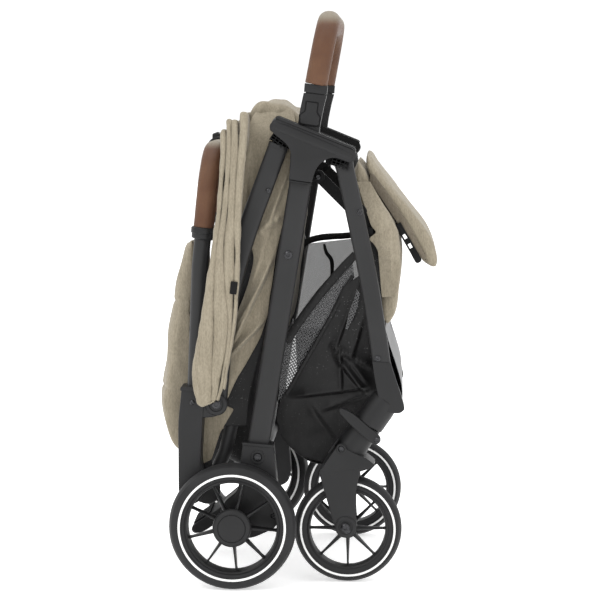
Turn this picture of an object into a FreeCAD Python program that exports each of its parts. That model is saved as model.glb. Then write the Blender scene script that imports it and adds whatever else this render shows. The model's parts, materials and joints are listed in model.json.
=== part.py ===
"""Compact folding pushchair, standing folded on its four wheels.

Row frame: +X forward, +Y to the child's left, +Z up, in millimetres. The origin is on the floor,
under the middle of the folded pushchair. The frame is the same on both sides, so each side piece is
modelled on the right (negative Y) and mirrored. A point written (x, z) lies in a side plane.
"""
import FreeCAD, Part
import math
import os
from FreeCAD import Vector

# ---- Driving dimensions: pivots in the side plane, (x, z) ----
PUSH_PIVOT = (-17.0, 615.0)        # push tube on the hub
LEG_PIVOT = (69.0, 585.0)          # front leg on the hub
BUMPER_PIVOT = (22.0, 621.0)       # bumper bar on the hub
KNUCKLE_PIVOT = (-106.0, 252.0)    # handle knuckle on the push tube
LINK_PIVOT = (-7.0, 458.0)         # fold link on the rear leg
KNUCKLE_TAIL = (-122.0, 127.0)     # where the fold link meets the knuckle, the open pivot
SEAT_PIVOT = (91.0, 517.0)         # seat bracket on the front leg
SEAT_LINK_PIVOT = (33.0, 564.0)    # seat link on the hub
SEAT_LINK_END = (107.0, 490.0)     # seat link's free end, the second open pivot
REAR_AXLE = (-82.0, 87.5)
FRONT_AXLE = (75.0, 75.0)
SWIVEL_POINT = (103.5, 222.5)      # middle of the front leg's lower rim
SWIVEL_TILT = 34.7                 # degrees the folded swivel axis leans from vertical

# ---- Driving dimensions: places across the width, distance from the middle plane ----
FRAME_Y = 172.0                    # middle of the frame tubes
HUB_INNER, HUB_OUTER = 146.0, 198.0
HUB_SKIN = 10.0
FRONT_WHEEL_Y = 158.0
REAR_WHEEL_Y = 215.0
LINK_Y = 140.0
HOUSING_SIDE = 189.0               # outer face of the axle housing
SEAT_BRACKET_Y = 141.0
SEAT_LINK_Y = 130.5

# ---- Driving dimensions: sections ----
PUSH_DIAMETER = 25.0
PUSH_BOW, PUSH_BOW_RADIUS = (-88.0, 412.0), 700.0
PUSH_CROSSBAR = (-57.2, 500.0)
REAR_LEG_WIDTH, REAR_LEG_DEPTH = 30.0, 22.0
FRONT_LEG_WIDTH, FRONT_LEG_DEPTH = 24.5, 22.0
TUBE_WALL = 1.6
HANDLE_RADIUS, GRIP_RADIUS = 11.5, 14.0
BUMPER_RADIUS, BUMPER_GRIP_RADIUS = 11.0, 15.5
LINK_RADIUS = 9.5
PIN_RADIUS = 5.0
SMALL_PIN_RADIUS = 4.0
SPINDLE_RADIUS = 6.0               # front swivel
FIXED_GAP = 0.05                   # radial gap where a pin is held
RUNNING_GAP = 0.08                 # radial gap where a pin turns

# ---- Driving dimensions: wheels ----
REAR_WHEEL = dict(radius=87.5, width=36.0, rim=65.0, rim_inner=61.9, hub=20.0, spokes=9, axle=5.0)
FRONT_WHEEL = dict(radius=75.0, width=28.0, rim=55.0, rim_inner=52.0, hub=16.0, spokes=8, axle=4.0)

# ---- Driving dimensions: soft pieces ----
SEAT_HALF_WIDTH = 124.0
LEG_REST_HALF_WIDTH = 115.0
BASKET_HALF_WIDTH = 112.0
BASKET_WALL = 3.0
CANOPY_INNER_Y, CANOPY_OUTER_Y = 193.5, 205.0
CURTAIN_HALF_WIDTH = 126.0

Y_AXIS = Vector(0, 1, 0)
nodes = {}


def at(point, y):
    """A point (x, z) of a side plane as a vector at width y."""
    return Vector(point[0], y, point[1])


def swivel_direction():
    """Unit vector up the tilted front swivel axis."""
    tilt = math.radians(SWIVEL_TILT)
    return Vector(math.sin(tilt), 0, math.cos(tilt))


def along_swivel(distance, across=0.0):
    """(x, z) at a distance up the swivel axis from the lower rim, and forward of that axis."""
    up = swivel_direction()
    return (SWIVEL_POINT[0] + distance * up.x + across * up.z,
            SWIVEL_POINT[1] + distance * up.z - across * up.x)


def rod(start, end, radius):
    """Solid round bar between two vectors."""
    run = end - start
    return Part.makeCylinder(radius, run.Length, start, run)


def cross_rod(point, y0, y1, radius):
    """Solid round bar along Y at a side-plane point."""
    return Part.makeCylinder(radius, abs(y1 - y0), at(point, min(y0, y1)), Y_AXIS)


def plate(outline, y0, y1, corner=0.0):
    """Outline of (x, z) points extruded from y0 to y1, its corners rounded if asked."""
    points = [at(p, min(y0, y1)) for p in outline]
    face = Part.Face(Part.makePolygon(points + points[:1]))
    solid = face.extrude(Vector(0, abs(y1 - y0), 0))
    if corner:
        upright = [e for e in solid.Edges if abs(abs(e.tangentAt(e.FirstParameter).y) - 1) < 1e-6]
        solid = solid.makeFillet(corner, upright)
    return solid


def oval_bar(start, end, width, depth):
    """Bar of oval section between two side-plane points at FRAME_Y; depth lies along Y."""
    a, b = at(start, 0), at(end, 0)
    run = b - a
    side = run.cross(Y_AXIS).normalize()
    half = width / 2 - depth / 2
    ends = [a + side * half, a - side * half]
    core = Part.Face(Part.makePolygon([
        ends[0] + Y_AXIS * (depth / 2), ends[1] + Y_AXIS * (depth / 2),
        ends[1] - Y_AXIS * (depth / 2), ends[0] - Y_AXIS * (depth / 2),
        ends[0] + Y_AXIS * (depth / 2)])).extrude(run)
    bar = core.fuse([Part.makeCylinder(depth / 2, run.Length, p, run) for p in ends])
    bar.translate(Vector(0, -FRAME_Y, 0))
    return bar.removeSplitter()


def swept_bar(points, radius, bend):
    """Round bar along straight runs joined by tangent arcs of one bend radius."""
    edges = []
    last = points[0]
    for before, corner, after in zip(points, points[1:], points[2:]):
        back = (before - corner).normalize()
        on = (after - corner).normalize()
        turn = math.pi - back.getAngle(on)
        reach = bend * math.tan(turn / 2)
        begin, end = corner + back * reach, corner + on * reach
        middle_way = (back + on).normalize()
        centre = corner + middle_way * (bend / math.cos(turn / 2))
        middle = centre - middle_way * bend
        edges += [Part.LineSegment(last, begin).toShape(), Part.Arc(begin, middle, end).toShape()]
        last = end
    edges.append(Part.LineSegment(last, points[-1]).toShape())
    path = Part.Wire(edges)
    circle = Part.Circle(points[0], points[1] - points[0], radius).toShape()
    solid = path.makePipeShell([Part.Wire([circle])], True, False)
    if solid.Volume < 0:
        solid.reverse()
    return solid


def ring(centre, y, profile):
    """Solid turned about Y from a closed profile of (radius, offset across the width) points."""
    points = [Vector(centre[0] + r, y + offset, centre[1]) for r, offset in profile]
    face = Part.Face(Part.makePolygon(points + points[:1]))
    return face.revolve(at(centre, y), Y_AXIS, 360)


def mirrored(shape):
    """The left-hand copy of a right-hand shape."""
    return shape.mirror(Vector(0, 0, 0), Y_AXIS)


def keep(name, shape):
    """Files a shape under its node's name."""
    nodes[name] = shape


def keep_pair(name, shape):
    """Files a right-hand shape and its mirror as two nodes."""
    keep(name + "_right", shape)
    keep(name + "_left", mirrored(shape))


def keep_both(name, shapes):
    """Files right-hand pieces and their mirrors as separate solids of one node."""
    keep(name, Part.makeCompound(shapes + [mirrored(s) for s in shapes]))


# ---- Hubs ----
def hub_outline():
    """T-shaped side outline: a sloping top with a cup at each end and a stem below."""
    return [(-22, 648), (84, 605), (86, 597), (79, 581), (62, 588), (44, 588), (31, 577),
            (25, 556), (-6, 561), (-2, 592), (-6, 604), (-28, 622), (-32, 636)]


def hub_half(outer):
    """Half shell of the right hub: a skin, half of the top wall and a pad that grips the rear leg."""
    leg_face = REAR_LEG_DEPTH / 2 + 0.2
    if outer:
        skin = plate(hub_outline(), -HUB_OUTER, -HUB_OUTER + HUB_SKIN, 2.5)
        wall_from, wall_to = -HUB_OUTER + HUB_SKIN, -FRAME_Y
        pad_from, pad_to = -HUB_OUTER + HUB_SKIN, -FRAME_Y - leg_face
    else:
        skin = plate(hub_outline(), -HUB_INNER - HUB_SKIN, -HUB_INNER, 2.5)
        wall_from, wall_to = -FRAME_Y, -HUB_INNER - HUB_SKIN
        pad_from, pad_to = -FRAME_Y + leg_face, -HUB_INNER - HUB_SKIN
    top_wall = plate([(-20, 646.5), (82, 605), (79.5, 598.8), (-22.5, 640.3)], wall_from, wall_to)
    pad = plate([(-3, 590), (22, 585), (23, 560), (-4, 563)], pad_from, pad_to)
    half = skin.fuse([top_wall, pad])
    if not outer:
        ear = cross_rod(SEAT_LINK_PIVOT, -HUB_INNER - HUB_SKIN, -HUB_INNER, 9.0)
        half = half.fuse(ear)
    slot = plate([(0, 660), (64, 640), (58, 596), (-2, 620)], -190.2, -164.0)
    bores = [cross_rod(p, -210, -130, PIN_RADIUS + FIXED_GAP)
             for p in (PUSH_PIVOT, LEG_PIVOT, BUMPER_PIVOT)]
    return half.cut([slot] + bores)


keep_pair("hub_cover", hub_half(outer=True))
keep_both("hub_inners", [hub_half(outer=False)])


# ---- Rear legs, axle housings and rear axle ----
REAR_LEG_TOP, REAR_LEG_FOOT = (12.5, 576.0), (-50.1, 183.0)


def rear_leg():
    """Oval tube from inside the hub to the axle housing, drilled for the fold link's pin."""
    tube = oval_bar(REAR_LEG_TOP, REAR_LEG_FOOT, REAR_LEG_WIDTH, REAR_LEG_DEPTH)
    hollow = oval_bar(REAR_LEG_TOP, REAR_LEG_FOOT,
                      REAR_LEG_WIDTH - 2 * TUBE_WALL, REAR_LEG_DEPTH - 2 * TUBE_WALL)
    return tube.cut([hollow, cross_rod(LINK_PIVOT, -200, -150, SMALL_PIN_RADIUS + FIXED_GAP)])


def axle_housing():
    """Moulded foot of the rear leg, bored for the axle."""
    outline = [(-71, 196), (-28, 196), (-24, 150), (-22, 100), (-28, 82), (-58, 64), (-92, 68),
               (-103, 86), (-98, 112), (-76, 130), (-73, 160)]
    foot = plate(outline, -HOUSING_SIDE, -158.8, 5.0)
    socket = oval_bar(REAR_LEG_TOP, REAR_LEG_FOOT, REAR_LEG_WIDTH, REAR_LEG_DEPTH)
    return foot.cut([socket, cross_rod(REAR_AXLE, -210, -150, REAR_WHEEL["axle"] + FIXED_GAP)])


AXLE_TUBE = (-50.0, 166.0)
keep_pair("rear_leg", rear_leg())
keep_both("axle_housings", [axle_housing()])
keep("rear_cross_tube", cross_rod(AXLE_TUBE, -158.8, 158.8, 11).cut(cross_rod(AXLE_TUBE, -170, 170, 9.4)))
keep("rear_axle", cross_rod(REAR_AXLE, -226, 226, REAR_WHEEL["axle"]))


# ---- Wheels ----
def tyre(centre, y, wheel):
    """Foam tyre: a rounded tread on a flat-bottomed ring."""
    r, inner, half = wheel["radius"], wheel["rim"], wheel["width"] / 2
    profile = [(inner, -half * 0.72), (inner + 7, -half * 0.98), (r - 9, -half), (r - 3, -half * 0.82),
               (r, -half * 0.45), (r, half * 0.45), (r - 3, half * 0.82), (r - 9, half),
               (inner + 7, half * 0.98), (inner, half * 0.72)]
    return ring(centre, y, profile)


def rim(centre, y, wheel):
    """Rim band, tapered spokes and a bored hub in one moulding."""
    half = wheel["width"] / 2
    band = ring(centre, y, [(wheel["rim_inner"], -half * 0.62), (wheel["rim"] - FIXED_GAP, -half * 0.7),
                            (wheel["rim"] - FIXED_GAP, half * 0.7), (wheel["rim_inner"], half * 0.62)])
    hub = cross_rod(centre, y - half + 3, y + half - 3, wheel["hub"])
    spokes = []
    for number in range(wheel["spokes"]):
        blade = Part.Face(Part.makePolygon([
            Vector(0, -8, -4.5), Vector(0, 8, -4.5), Vector(wheel["rim_inner"] + 1, 6, -2.6),
            Vector(wheel["rim_inner"] + 1, -6, -2.6), Vector(0, -8, -4.5)]))
        upper = [Vector(v.x, v.y, -v.z) for v in (p.Point for p in blade.OuterWire.OrderedVertexes)]
        blade = Part.makeLoft([blade.OuterWire, Part.makePolygon(upper + upper[:1])], True, True)
        blade.rotate(Vector(0, 0, 0), Y_AXIS, 360.0 * number / wheel["spokes"] + 5)
        blade.translate(at(centre, y))
        spokes.append(blade)
    moulding = band.fuse(hub).fuse(spokes)
    return moulding.cut(cross_rod(centre, y - 40, y + 40, wheel["axle"] + RUNNING_GAP)).removeSplitter()


def rear_cap():
    """Domed cap over the axle's end, clear of the shaft."""
    outside = -REAR_WHEEL_Y - REAR_WHEEL["width"] / 2
    profile = [(0, 3.0), (0, -3.5), (14, -3.0), (24, 0), (26.6, 3), (26.6, 6.5), (20.5, 6.5), (20.5, 3.0)]
    return ring(REAR_AXLE, outside, profile)


keep_pair("rear_tyre", tyre(REAR_AXLE, -REAR_WHEEL_Y, REAR_WHEEL))
keep_pair("rear_rim", rim(REAR_AXLE, -REAR_WHEEL_Y, REAR_WHEEL))
keep_pair("rear_cap", rear_cap())
keep_pair("front_tyre", tyre(FRONT_AXLE, -FRONT_WHEEL_Y, FRONT_WHEEL))
keep_pair("front_rim", rim(FRONT_AXLE, -FRONT_WHEEL_Y, FRONT_WHEEL))


# ---- Push tubes ----
def push_bar(y, radius):
    """Bowed round bar between the hub and knuckle pivots."""
    return swept_bar([at(p, y) for p in (PUSH_PIVOT, PUSH_BOW, KNUCKLE_PIVOT)], radius, PUSH_BOW_RADIUS)


def push_tube():
    """Bowed tube with a moulded lug at each end, drilled for the hub and knuckle pins."""
    radius = PUSH_DIAMETER / 2
    lug_half = radius - 0.3
    tube = push_bar(-FRAME_Y, radius).cut(push_bar(-FRAME_Y, radius - TUBE_WALL))
    ends = (PUSH_PIVOT, KNUCKLE_PIVOT)
    lugs = [cross_rod(p, -FRAME_Y - lug_half, -FRAME_Y + lug_half, radius + 1) for p in ends]
    bores = [cross_rod(p, -220, -120, PIN_RADIUS + RUNNING_GAP) for p in ends]
    return tube.fuse(lugs).cut(bores).removeSplitter()


keep_pair("push_tube", push_tube())
keep("push_crossbar", cross_rod(PUSH_CROSSBAR, -FRAME_Y, FRAME_Y, 8.0).cut(
    [push_bar(y, PUSH_DIAMETER / 2) for y in (-FRAME_Y, FRAME_Y)]))

# ---- Handle ----
HANDLE_FOOT, HANDLE_BEND, HANDLE_TOP = (-137.0, 240.0), (-129.0, 440.0), (-113.0, 598.0)
HANDLE_CORNER = 62.0
COLLAR_HEIGHT = 494.0


def handle_bar(radius, start):
    """U-shaped bar: two legs from the knuckles joined by a crossbar."""
    right = [at(start, -FRAME_Y), at(HANDLE_TOP, -FRAME_Y)]
    if start is HANDLE_FOOT:
        right.insert(1, at(HANDLE_BEND, -FRAME_Y))
    left = [Vector(p.x, -p.y, p.z) for p in reversed(right)]
    return swept_bar(right + left, radius, HANDLE_CORNER)


def knuckle():
    """Moulded knuckle: sleeve on the handle leg, cheeks on the push tube, tail to the fold link."""
    outline = [(-155, 274), (-120, 274), (-124, 236), (-128, 172), (-128, 124), (-134, 114),
               (-150, 114), (-158, 124), (-158, 228)]
    body = plate(outline, -192, -152, 5.0)
    arm = [(-150, 270), (-112, 270), (-94, 262), (-92, 244), (-104, 235), (-130, 228)]
    cheeks = [plate(arm, -192, -185.4, 3), plate(arm, -158.6, -152, 3)]
    tail = [(-136, 160), (-120, 148), (-104, 136), (-105, 115), (-120, 106), (-140, 112)]
    tail = plate(tail, -158.6, -152, 5)
    bore = rod(at((-137.4, 230), -FRAME_Y), at((-135.5, 280), -FRAME_Y), HANDLE_RADIUS + FIXED_GAP)
    return body.fuse(cheeks).fuse(tail).cut(
        [bore, cross_rod(KNUCKLE_PIVOT, -220, -120, PIN_RADIUS + FIXED_GAP)]).removeSplitter()


bar = handle_bar(HANDLE_RADIUS, HANDLE_FOOT)
grip_start = (-123.5, COLLAR_HEIGHT)
button_sleeve = cross_rod(HANDLE_TOP, -38, 38, 18)
grip_bore = handle_bar(HANDLE_RADIUS + FIXED_GAP, HANDLE_FOOT)
keep("handle_bar", bar.cut(handle_bar(HANDLE_RADIUS - TUBE_WALL, HANDLE_FOOT)))
keep("handle_grip", handle_bar(GRIP_RADIUS, grip_start).cut([grip_bore, button_sleeve]))
knuckle_right = knuckle().cut(bar)
keep_pair("handle_knuckle", knuckle_right)
collar = rod(at((-125.0, 482), -FRAME_Y), at((-123.6, 493.8), -FRAME_Y), 16.5).cut(bar)
keep_both("handle_collars", [collar])
BUTTON_X, BUTTON_HALF_X, BUTTON_HALF_Y = -118.0, 6.0, 20.0
pocket = Part.makeBox(2 * BUTTON_HALF_X + 0.8, 2 * BUTTON_HALF_Y + 0.8, 30,
                      Vector(BUTTON_X - BUTTON_HALF_X - 0.4, -BUTTON_HALF_Y - 0.4, 609.8))
keep("fold_button_housing", button_sleeve.cut([bar, pocket]))
keep("fold_button", Part.makeBox(2 * BUTTON_HALF_X, 2 * BUTTON_HALF_Y, 8.4,
                                 Vector(BUTTON_X - BUTTON_HALF_X, -BUTTON_HALF_Y, 613.4)))
keep_both("knuckle_pins", [cross_rod(KNUCKLE_PIVOT, -207, -150, PIN_RADIUS)])


# ---- Fold links ----
def fold_link():
    """Bent bar from the rear leg's pin to the knuckle's tail."""
    route = [at(p, -LINK_Y) for p in (LINK_PIVOT, (-58, 344), (-98, 176), KNUCKLE_TAIL)]
    tube = swept_bar(route, LINK_RADIUS, 60.0).cut(swept_bar(route, LINK_RADIUS - TUBE_WALL, 60.0))
    ends = (LINK_PIVOT, KNUCKLE_TAIL)
    lugs = [cross_rod(p, -LINK_Y - 8.5, -LINK_Y + 8.5, 10.5) for p in ends]
    bores = [cross_rod(p, -220, -120, SMALL_PIN_RADIUS + RUNNING_GAP) for p in ends]
    return tube.fuse(lugs).cut(bores).removeSplitter()


keep_pair("fold_link", fold_link())

# ---- Front legs ----
FRONT_LEG_FOOT = (122.2, 296.0)


def front_leg():
    """Oval tube with a rounded lug in the hub, drilled for the hub pin and the seat bracket's pin."""
    depth = FRONT_LEG_DEPTH
    tube = oval_bar(LEG_PIVOT, FRONT_LEG_FOOT, FRONT_LEG_WIDTH, depth)
    hollow = oval_bar((LEG_PIVOT[0] + 2.5, LEG_PIVOT[1] - 14), FRONT_LEG_FOOT,
                      FRONT_LEG_WIDTH - 2 * TUBE_WALL, depth - 2 * TUBE_WALL)
    lug = cross_rod(LEG_PIVOT, -FRAME_Y - depth / 2, -FRAME_Y + depth / 2, FRONT_LEG_WIDTH / 2)
    leg = tube.cut(hollow).fuse(lug)
    return leg.cut([cross_rod(LEG_PIVOT, -220, -120, PIN_RADIUS + RUNNING_GAP),
                    cross_rod(SEAT_PIVOT, -174, -150, SMALL_PIN_RADIUS + FIXED_GAP)]).removeSplitter()


def leg_end():
    """Moulded end of the front leg: a socket for the tube that runs into the tilted swivel head."""
    shin = plate([(107.5, 308), (132.5, 308), (143, 262), (150, 246), (112, 250), (106, 270)],
                 -184, -160, 3)
    head = rod(at(along_swivel(0), -166), at(along_swivel(38), -166), 21.0)
    bore = rod(at(along_swivel(-5), -FRONT_WHEEL_Y), at(along_swivel(30), -FRONT_WHEEL_Y),
               SPINDLE_RADIUS + RUNNING_GAP)
    flat = Part.makeBox(200, 60, 300, Vector(20, -247, 100))
    socket = oval_bar(LEG_PIVOT, FRONT_LEG_FOOT, FRONT_LEG_WIDTH, FRONT_LEG_DEPTH)
    return head.fuse(shin).cut([bore, flat, socket]).removeSplitter()


keep_pair("front_leg", front_leg())
keep_both("leg_ends", [leg_end()])
keep("footrest", plate([(128, 352), (141, 318), (152, 286), (154, 246), (149, 244), (147, 284),
                        (136, 314), (123, 347)], -159.6, 159.6))
FRONT_CROSS_TUBE = (119.0, 290.0)
keep("front_cross_tube", cross_rod(FRONT_CROSS_TUBE, -159.8, 159.8, 9).cut(
    cross_rod(FRONT_CROSS_TUBE, -170, 170, 7.6)))


# ---- Front swivels ----
def fork():
    """Caster: a spindle and crown on the tilted axis, and a blade each side of the wheel."""
    y = -FRONT_WHEEL_Y
    spindle = rod(at(along_swivel(-12), y), at(along_swivel(28), y), SPINDLE_RADIUS)
    head = rod(at(along_swivel(-42), y), at(along_swivel(-0.6), y), 20.0)
    crown = plate([(67, 196), (100, 176), (110, 168), (92, 153), (40, 153), (36, 160), (54, 190)],
                  y - 24.5, y + 24.5, 3)
    blade = [(36, 158), (92, 158), (86, 120), (87.5, 80), (84, 70), (75, 65), (66, 68), (59, 78)]
    blades = [plate(blade, y - 24.5, y - 16.5, 3), plate(blade, y + 16.5, y + 24.5, 3)]
    shape = spindle.fuse([head, crown]).fuse(blades)
    wheel_room = cross_rod(FRONT_AXLE, y - 16.5, y + 16.5, FRONT_WHEEL["radius"] + 1.5)
    axle_bore = cross_rod(FRONT_AXLE, y - 40, y + 40, FRONT_WHEEL["axle"] + FIXED_GAP)
    lever_room = plate([along_swivel(-0.5, -46), along_swivel(-0.5, 30), along_swivel(-20, 30),
                        along_swivel(-23, -46)], y - 40, y - 15)
    return shape.cut([wheel_room, axle_bore, lever_room]).removeSplitter()


def swivel_lever():
    """Swivel-lock lever lying across the crown, turning on its screw."""
    outline = [along_swivel(-3.0, -44), along_swivel(-1.8, -10), along_swivel(-2.0, 20),
               along_swivel(-9, 26), along_swivel(-16.5, 20), along_swivel(-15, -10),
               along_swivel(-9, -44)]
    return plate(outline, -FRONT_WHEEL_Y - 24, -FRONT_WHEEL_Y - 15.6, 2.5)


keep_pair("fork", fork())
keep_pair("swivel_lever", swivel_lever())
keep_pair("front_axle", cross_rod(FRONT_AXLE, -FRONT_WHEEL_Y - 27, -FRONT_WHEEL_Y + 27,
                                  FRONT_WHEEL["axle"]))


# ---- Bumper bar ----
BUMPER_TOP, BUMPER_GRIP_FOOT = (47.0, 776.0), (31.0, 690.0)
BUMPER_Y = 178.0
BUMPER_CORNER = 58.0


def bumper_bar(radius, start):
    """U-shaped bar joined by a crossbar above the hubs."""
    right = [at(start, -BUMPER_Y), at(BUMPER_TOP, -BUMPER_Y)]
    left = [Vector(p.x, -p.y, p.z) for p in reversed(right)]
    return swept_bar(right + left, radius, BUMPER_CORNER)


def bumper_arm():
    """Moulded arm from the hub's slot to the bar, with a pocket for its release button."""
    outline = [(14, 690), (47, 686), (37, 645), (34, 612), (10, 612), (8, 645)]
    arm = plate(outline, -188, -167, 4)
    lug = cross_rod(BUMPER_PIVOT, -188, -167, 12)
    pocket = plate([(16.6, 668.4), (34.4, 666), (32, 643.6), (18, 644)], -190, -182)
    bore = cross_rod(BUMPER_PIVOT, -200, -150, PIN_RADIUS + RUNNING_GAP)
    foot = Part.makeBox(60, 40, 20, Vector(-8, -200, 596))
    return arm.cut(foot).fuse(lug).cut([pocket, bore]).removeSplitter()


keep("bumper_bar", bumper_bar(BUMPER_RADIUS, BUMPER_GRIP_FOOT).cut(
    bumper_bar(BUMPER_RADIUS - TUBE_WALL, BUMPER_GRIP_FOOT)))
keep("bumper_grip", bumper_bar(BUMPER_GRIP_RADIUS, BUMPER_GRIP_FOOT).cut(
    bumper_bar(BUMPER_RADIUS + FIXED_GAP, BUMPER_GRIP_FOOT)))
keep_both("bumper_arms", [bumper_arm()])
keep_pair("bumper_button", plate([(17.2, 667.6), (33.6, 665.4), (31.4, 644.4), (18.6, 644.8)],
                                 -189.4, -185.2, 1.5))

# ---- Pins and screws of the frame ----
SCREW_HEADS = [((-47, 179), 6.0), ((-82, 118), 5.0)]
frame_pins = [cross_rod(PUSH_PIVOT, -201, -143, PIN_RADIUS), cross_rod(LEG_PIVOT, -201, -143, PIN_RADIUS),
              cross_rod(BUMPER_PIVOT, -HUB_OUTER, -HUB_INNER, PIN_RADIUS),
              cross_rod(LINK_PIVOT, -187, -128, SMALL_PIN_RADIUS),
              cross_rod(SEAT_LINK_PIVOT, -HUB_INNER, -126, SMALL_PIN_RADIUS)]
frame_pins += [cross_rod(point, -HOUSING_SIDE - 3, -HOUSING_SIDE, radius)
               for point, radius in SCREW_HEADS]
keep_both("frame_pins", frame_pins)
keep_both("leg_pins", [cross_rod(SEAT_PIVOT, -174, -136.5, SMALL_PIN_RADIUS)])


# ---- Seat base, its brackets and links, and the leg rest ----
def seat_base():
    """Seat base pad, folded upright in front of the legs, with a tunnel for the bracket's rod."""
    outline = [(84, 592), (97, 574), (106, 548), (120, 524), (134, 506), (144, 478), (146, 452),
               (141, 410), (136, 364), (126, 352), (119, 356), (115, 400), (114, 466), (98, 496),
               (86, 540)]
    return plate(outline, -SEAT_HALF_WIDTH, SEAT_HALF_WIDTH, 2.5).cut(
        cross_rod(SEAT_ROD, -SEAT_HALF_WIDTH - 1, SEAT_HALF_WIDTH + 1, 5.1))


def seat_bracket():
    """Flat bracket from the front leg's pin to the rod through the seat base."""
    outline = [(83, 526), (99, 524), (134, 492), (132, 478), (120, 478), (84, 508)]
    bracket = plate(outline, -SEAT_BRACKET_Y - 3.2, -SEAT_BRACKET_Y + 3.2, 4)
    return bracket.cut(cross_rod(SEAT_PIVOT, -150, -130, SMALL_PIN_RADIUS + RUNNING_GAP))


SEAT_ROD = (126.0, 486.0)
keep("seat_base", seat_base())
rod_between = cross_rod(SEAT_ROD, -SEAT_BRACKET_Y + 3.2, SEAT_BRACKET_Y - 3.2, 5)
keep("seat_brackets", Part.makeCompound([seat_bracket(), mirrored(seat_bracket()), rod_between]))


def seat_link():
    """Flat bar from the hub to the seat bracket."""
    a, b = at(SEAT_LINK_PIVOT, 0), at(SEAT_LINK_END, 0)
    side = (b - a).cross(Y_AXIS).normalize() * 8.0
    corners = [a + side, b + side, b - side, a - side]
    bar = plate([(v.x, v.z) for v in corners], -SEAT_LINK_Y - 3, -SEAT_LINK_Y + 3)
    ends = [cross_rod(p, -SEAT_LINK_Y - 3, -SEAT_LINK_Y + 3, 8.0)
            for p in (SEAT_LINK_PIVOT, SEAT_LINK_END)]
    bore = cross_rod(SEAT_LINK_PIVOT, -140, -120, SMALL_PIN_RADIUS + RUNNING_GAP)
    return bar.fuse(ends).cut(bore).removeSplitter()


keep_both("seat_links", [seat_link()])
keep("leg_rest", plate([(100, 592), (112, 576), (130, 556), (156, 524), (180, 492), (194, 462),
                        (200, 438), (196, 430), (186, 438), (172, 462), (148, 498), (122, 536),
                        (108, 556), (99, 577)], -LEG_REST_HALF_WIDTH, LEG_REST_HALF_WIDTH, 1.5))
keep_both("leg_rest_strips", [plate(
    [(148, 492), (156, 498), (170, 472), (180, 448), (173, 442), (163, 464)],
    -LEG_REST_HALF_WIDTH - 4.5, -LEG_REST_HALF_WIDTH, 2.5)])

# ---- Seat back, basket, canopy and rear curtain: plain closed solids ----
keep("seat_back", plate([(-54, 602), (-57, 638), (-48, 662), (-26, 663), (6, 652), (12, 600), (-2, 470),
                         (-20, 330), (-44, 326), (-42, 420), (-38, 500), (-44, 560)],
                        -SEAT_HALF_WIDTH, SEAT_HALF_WIDTH, 4))


def basket():
    """Fabric basket: a thin shell, open along its sloping top."""
    outside = [(90, 350), (74, 368), (48, 386), (30, 386), (-9, 340), (-7, 232), (-4, 182),
               (10, 164), (62, 162), (88, 205), (92, 268)]
    inside = [(87, 420), (-6, 420), (-5.5, 340), (-4, 232), (-1, 184), (12, 167), (60, 165),
              (85, 206), (89, 268)]
    inner = BASKET_HALF_WIDTH - BASKET_WALL
    return plate(outside, -BASKET_HALF_WIDTH, BASKET_HALF_WIDTH).cut(plate(inside, -inner, inner))


def canopy_part(side, top):
    """Folded canopy layer: a panel down each side joined by a layer across the top."""
    right = plate(side, -CANOPY_OUTER_Y, -CANOPY_INNER_Y)
    cross = plate(top, -CANOPY_INNER_Y, CANOPY_INNER_Y)
    return cross.fuse([right, mirrored(right)]).removeSplitter()


keep("basket", basket())
keep("canopy_rear", canopy_part(
    [(-97, 560), (-92, 638), (-82.5, 638), (-84, 540), (-97, 400), (-112, 290), (-118, 285),
     (-132, 300), (-119, 390), (-104, 500)],
    [(-96, 570), (-92, 638), (-82.5, 638), (-83.6, 560)]))
canopy_front = canopy_part(
    [(-82, 644), (-64, 650), (-68, 560), (-72, 440), (-84, 330), (-96, 262), (-104, 243),
     (-116, 246), (-116, 262), (-110.5, 290), (-96, 400), (-83.2, 540)],
    [(-82, 644), (-64, 650), (-67.5, 560), (-82.8, 560)])
keep("canopy_front", canopy_front.cut([cross_rod(KNUCKLE_PIVOT, y0, y1, PIN_RADIUS + RUNNING_GAP)
                                       for y0, y1 in ((-210, -190), (190, 210))]))
keep("back_curtain", plate([(-150, 484), (-161, 430), (-172, 370), (-184, 300), (-200, 246), (-200, 222),
                            (-190, 196), (-170, 172), (-160, 178), (-152, 300), (-144, 430)],
                           -CURTAIN_HALF_WIDTH, CURTAIN_HALF_WIDTH))

# ---- Brake pedal ----
pedal = plate([(-92, 95), (-76, 99), (-70, 86), (-80, 77), (-104, 66), (-140, 42), (-152, 40), (-156, 48),
               (-150, 54), (-112, 78)], -42, 42)
keep("brake_pedal", pedal.cut(cross_rod(REAR_AXLE, -60, 60, REAR_WHEEL["axle"] + RUNNING_GAP)))

os.makedirs("parts", exist_ok=True)
for name, shape in nodes.items():
    solid_count = len(shape.Solids)
    print(name, "solids", solid_count, "volume", round(shape.Volume), "valid", shape.isValid())
    shape.exportStep("parts/" + name + ".step")
print(len(nodes), "nodes")
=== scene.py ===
"""Looks of a compact folding pushchair that stands folded on its four wheels.

Row frame: +X forward, +Y to the child's left, +Z up. Outlines are (x, z) in millimetres, seen from
the right-hand side. A side piece is modelled on the right, at negative Y, and copied to the left.
"""

import json
import logging
import math
from dataclasses import dataclass
from enum import Enum
from typing import Any, Callable, Iterable, Sequence

import bpy
from mathutils import Matrix, Vector, noise


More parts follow.
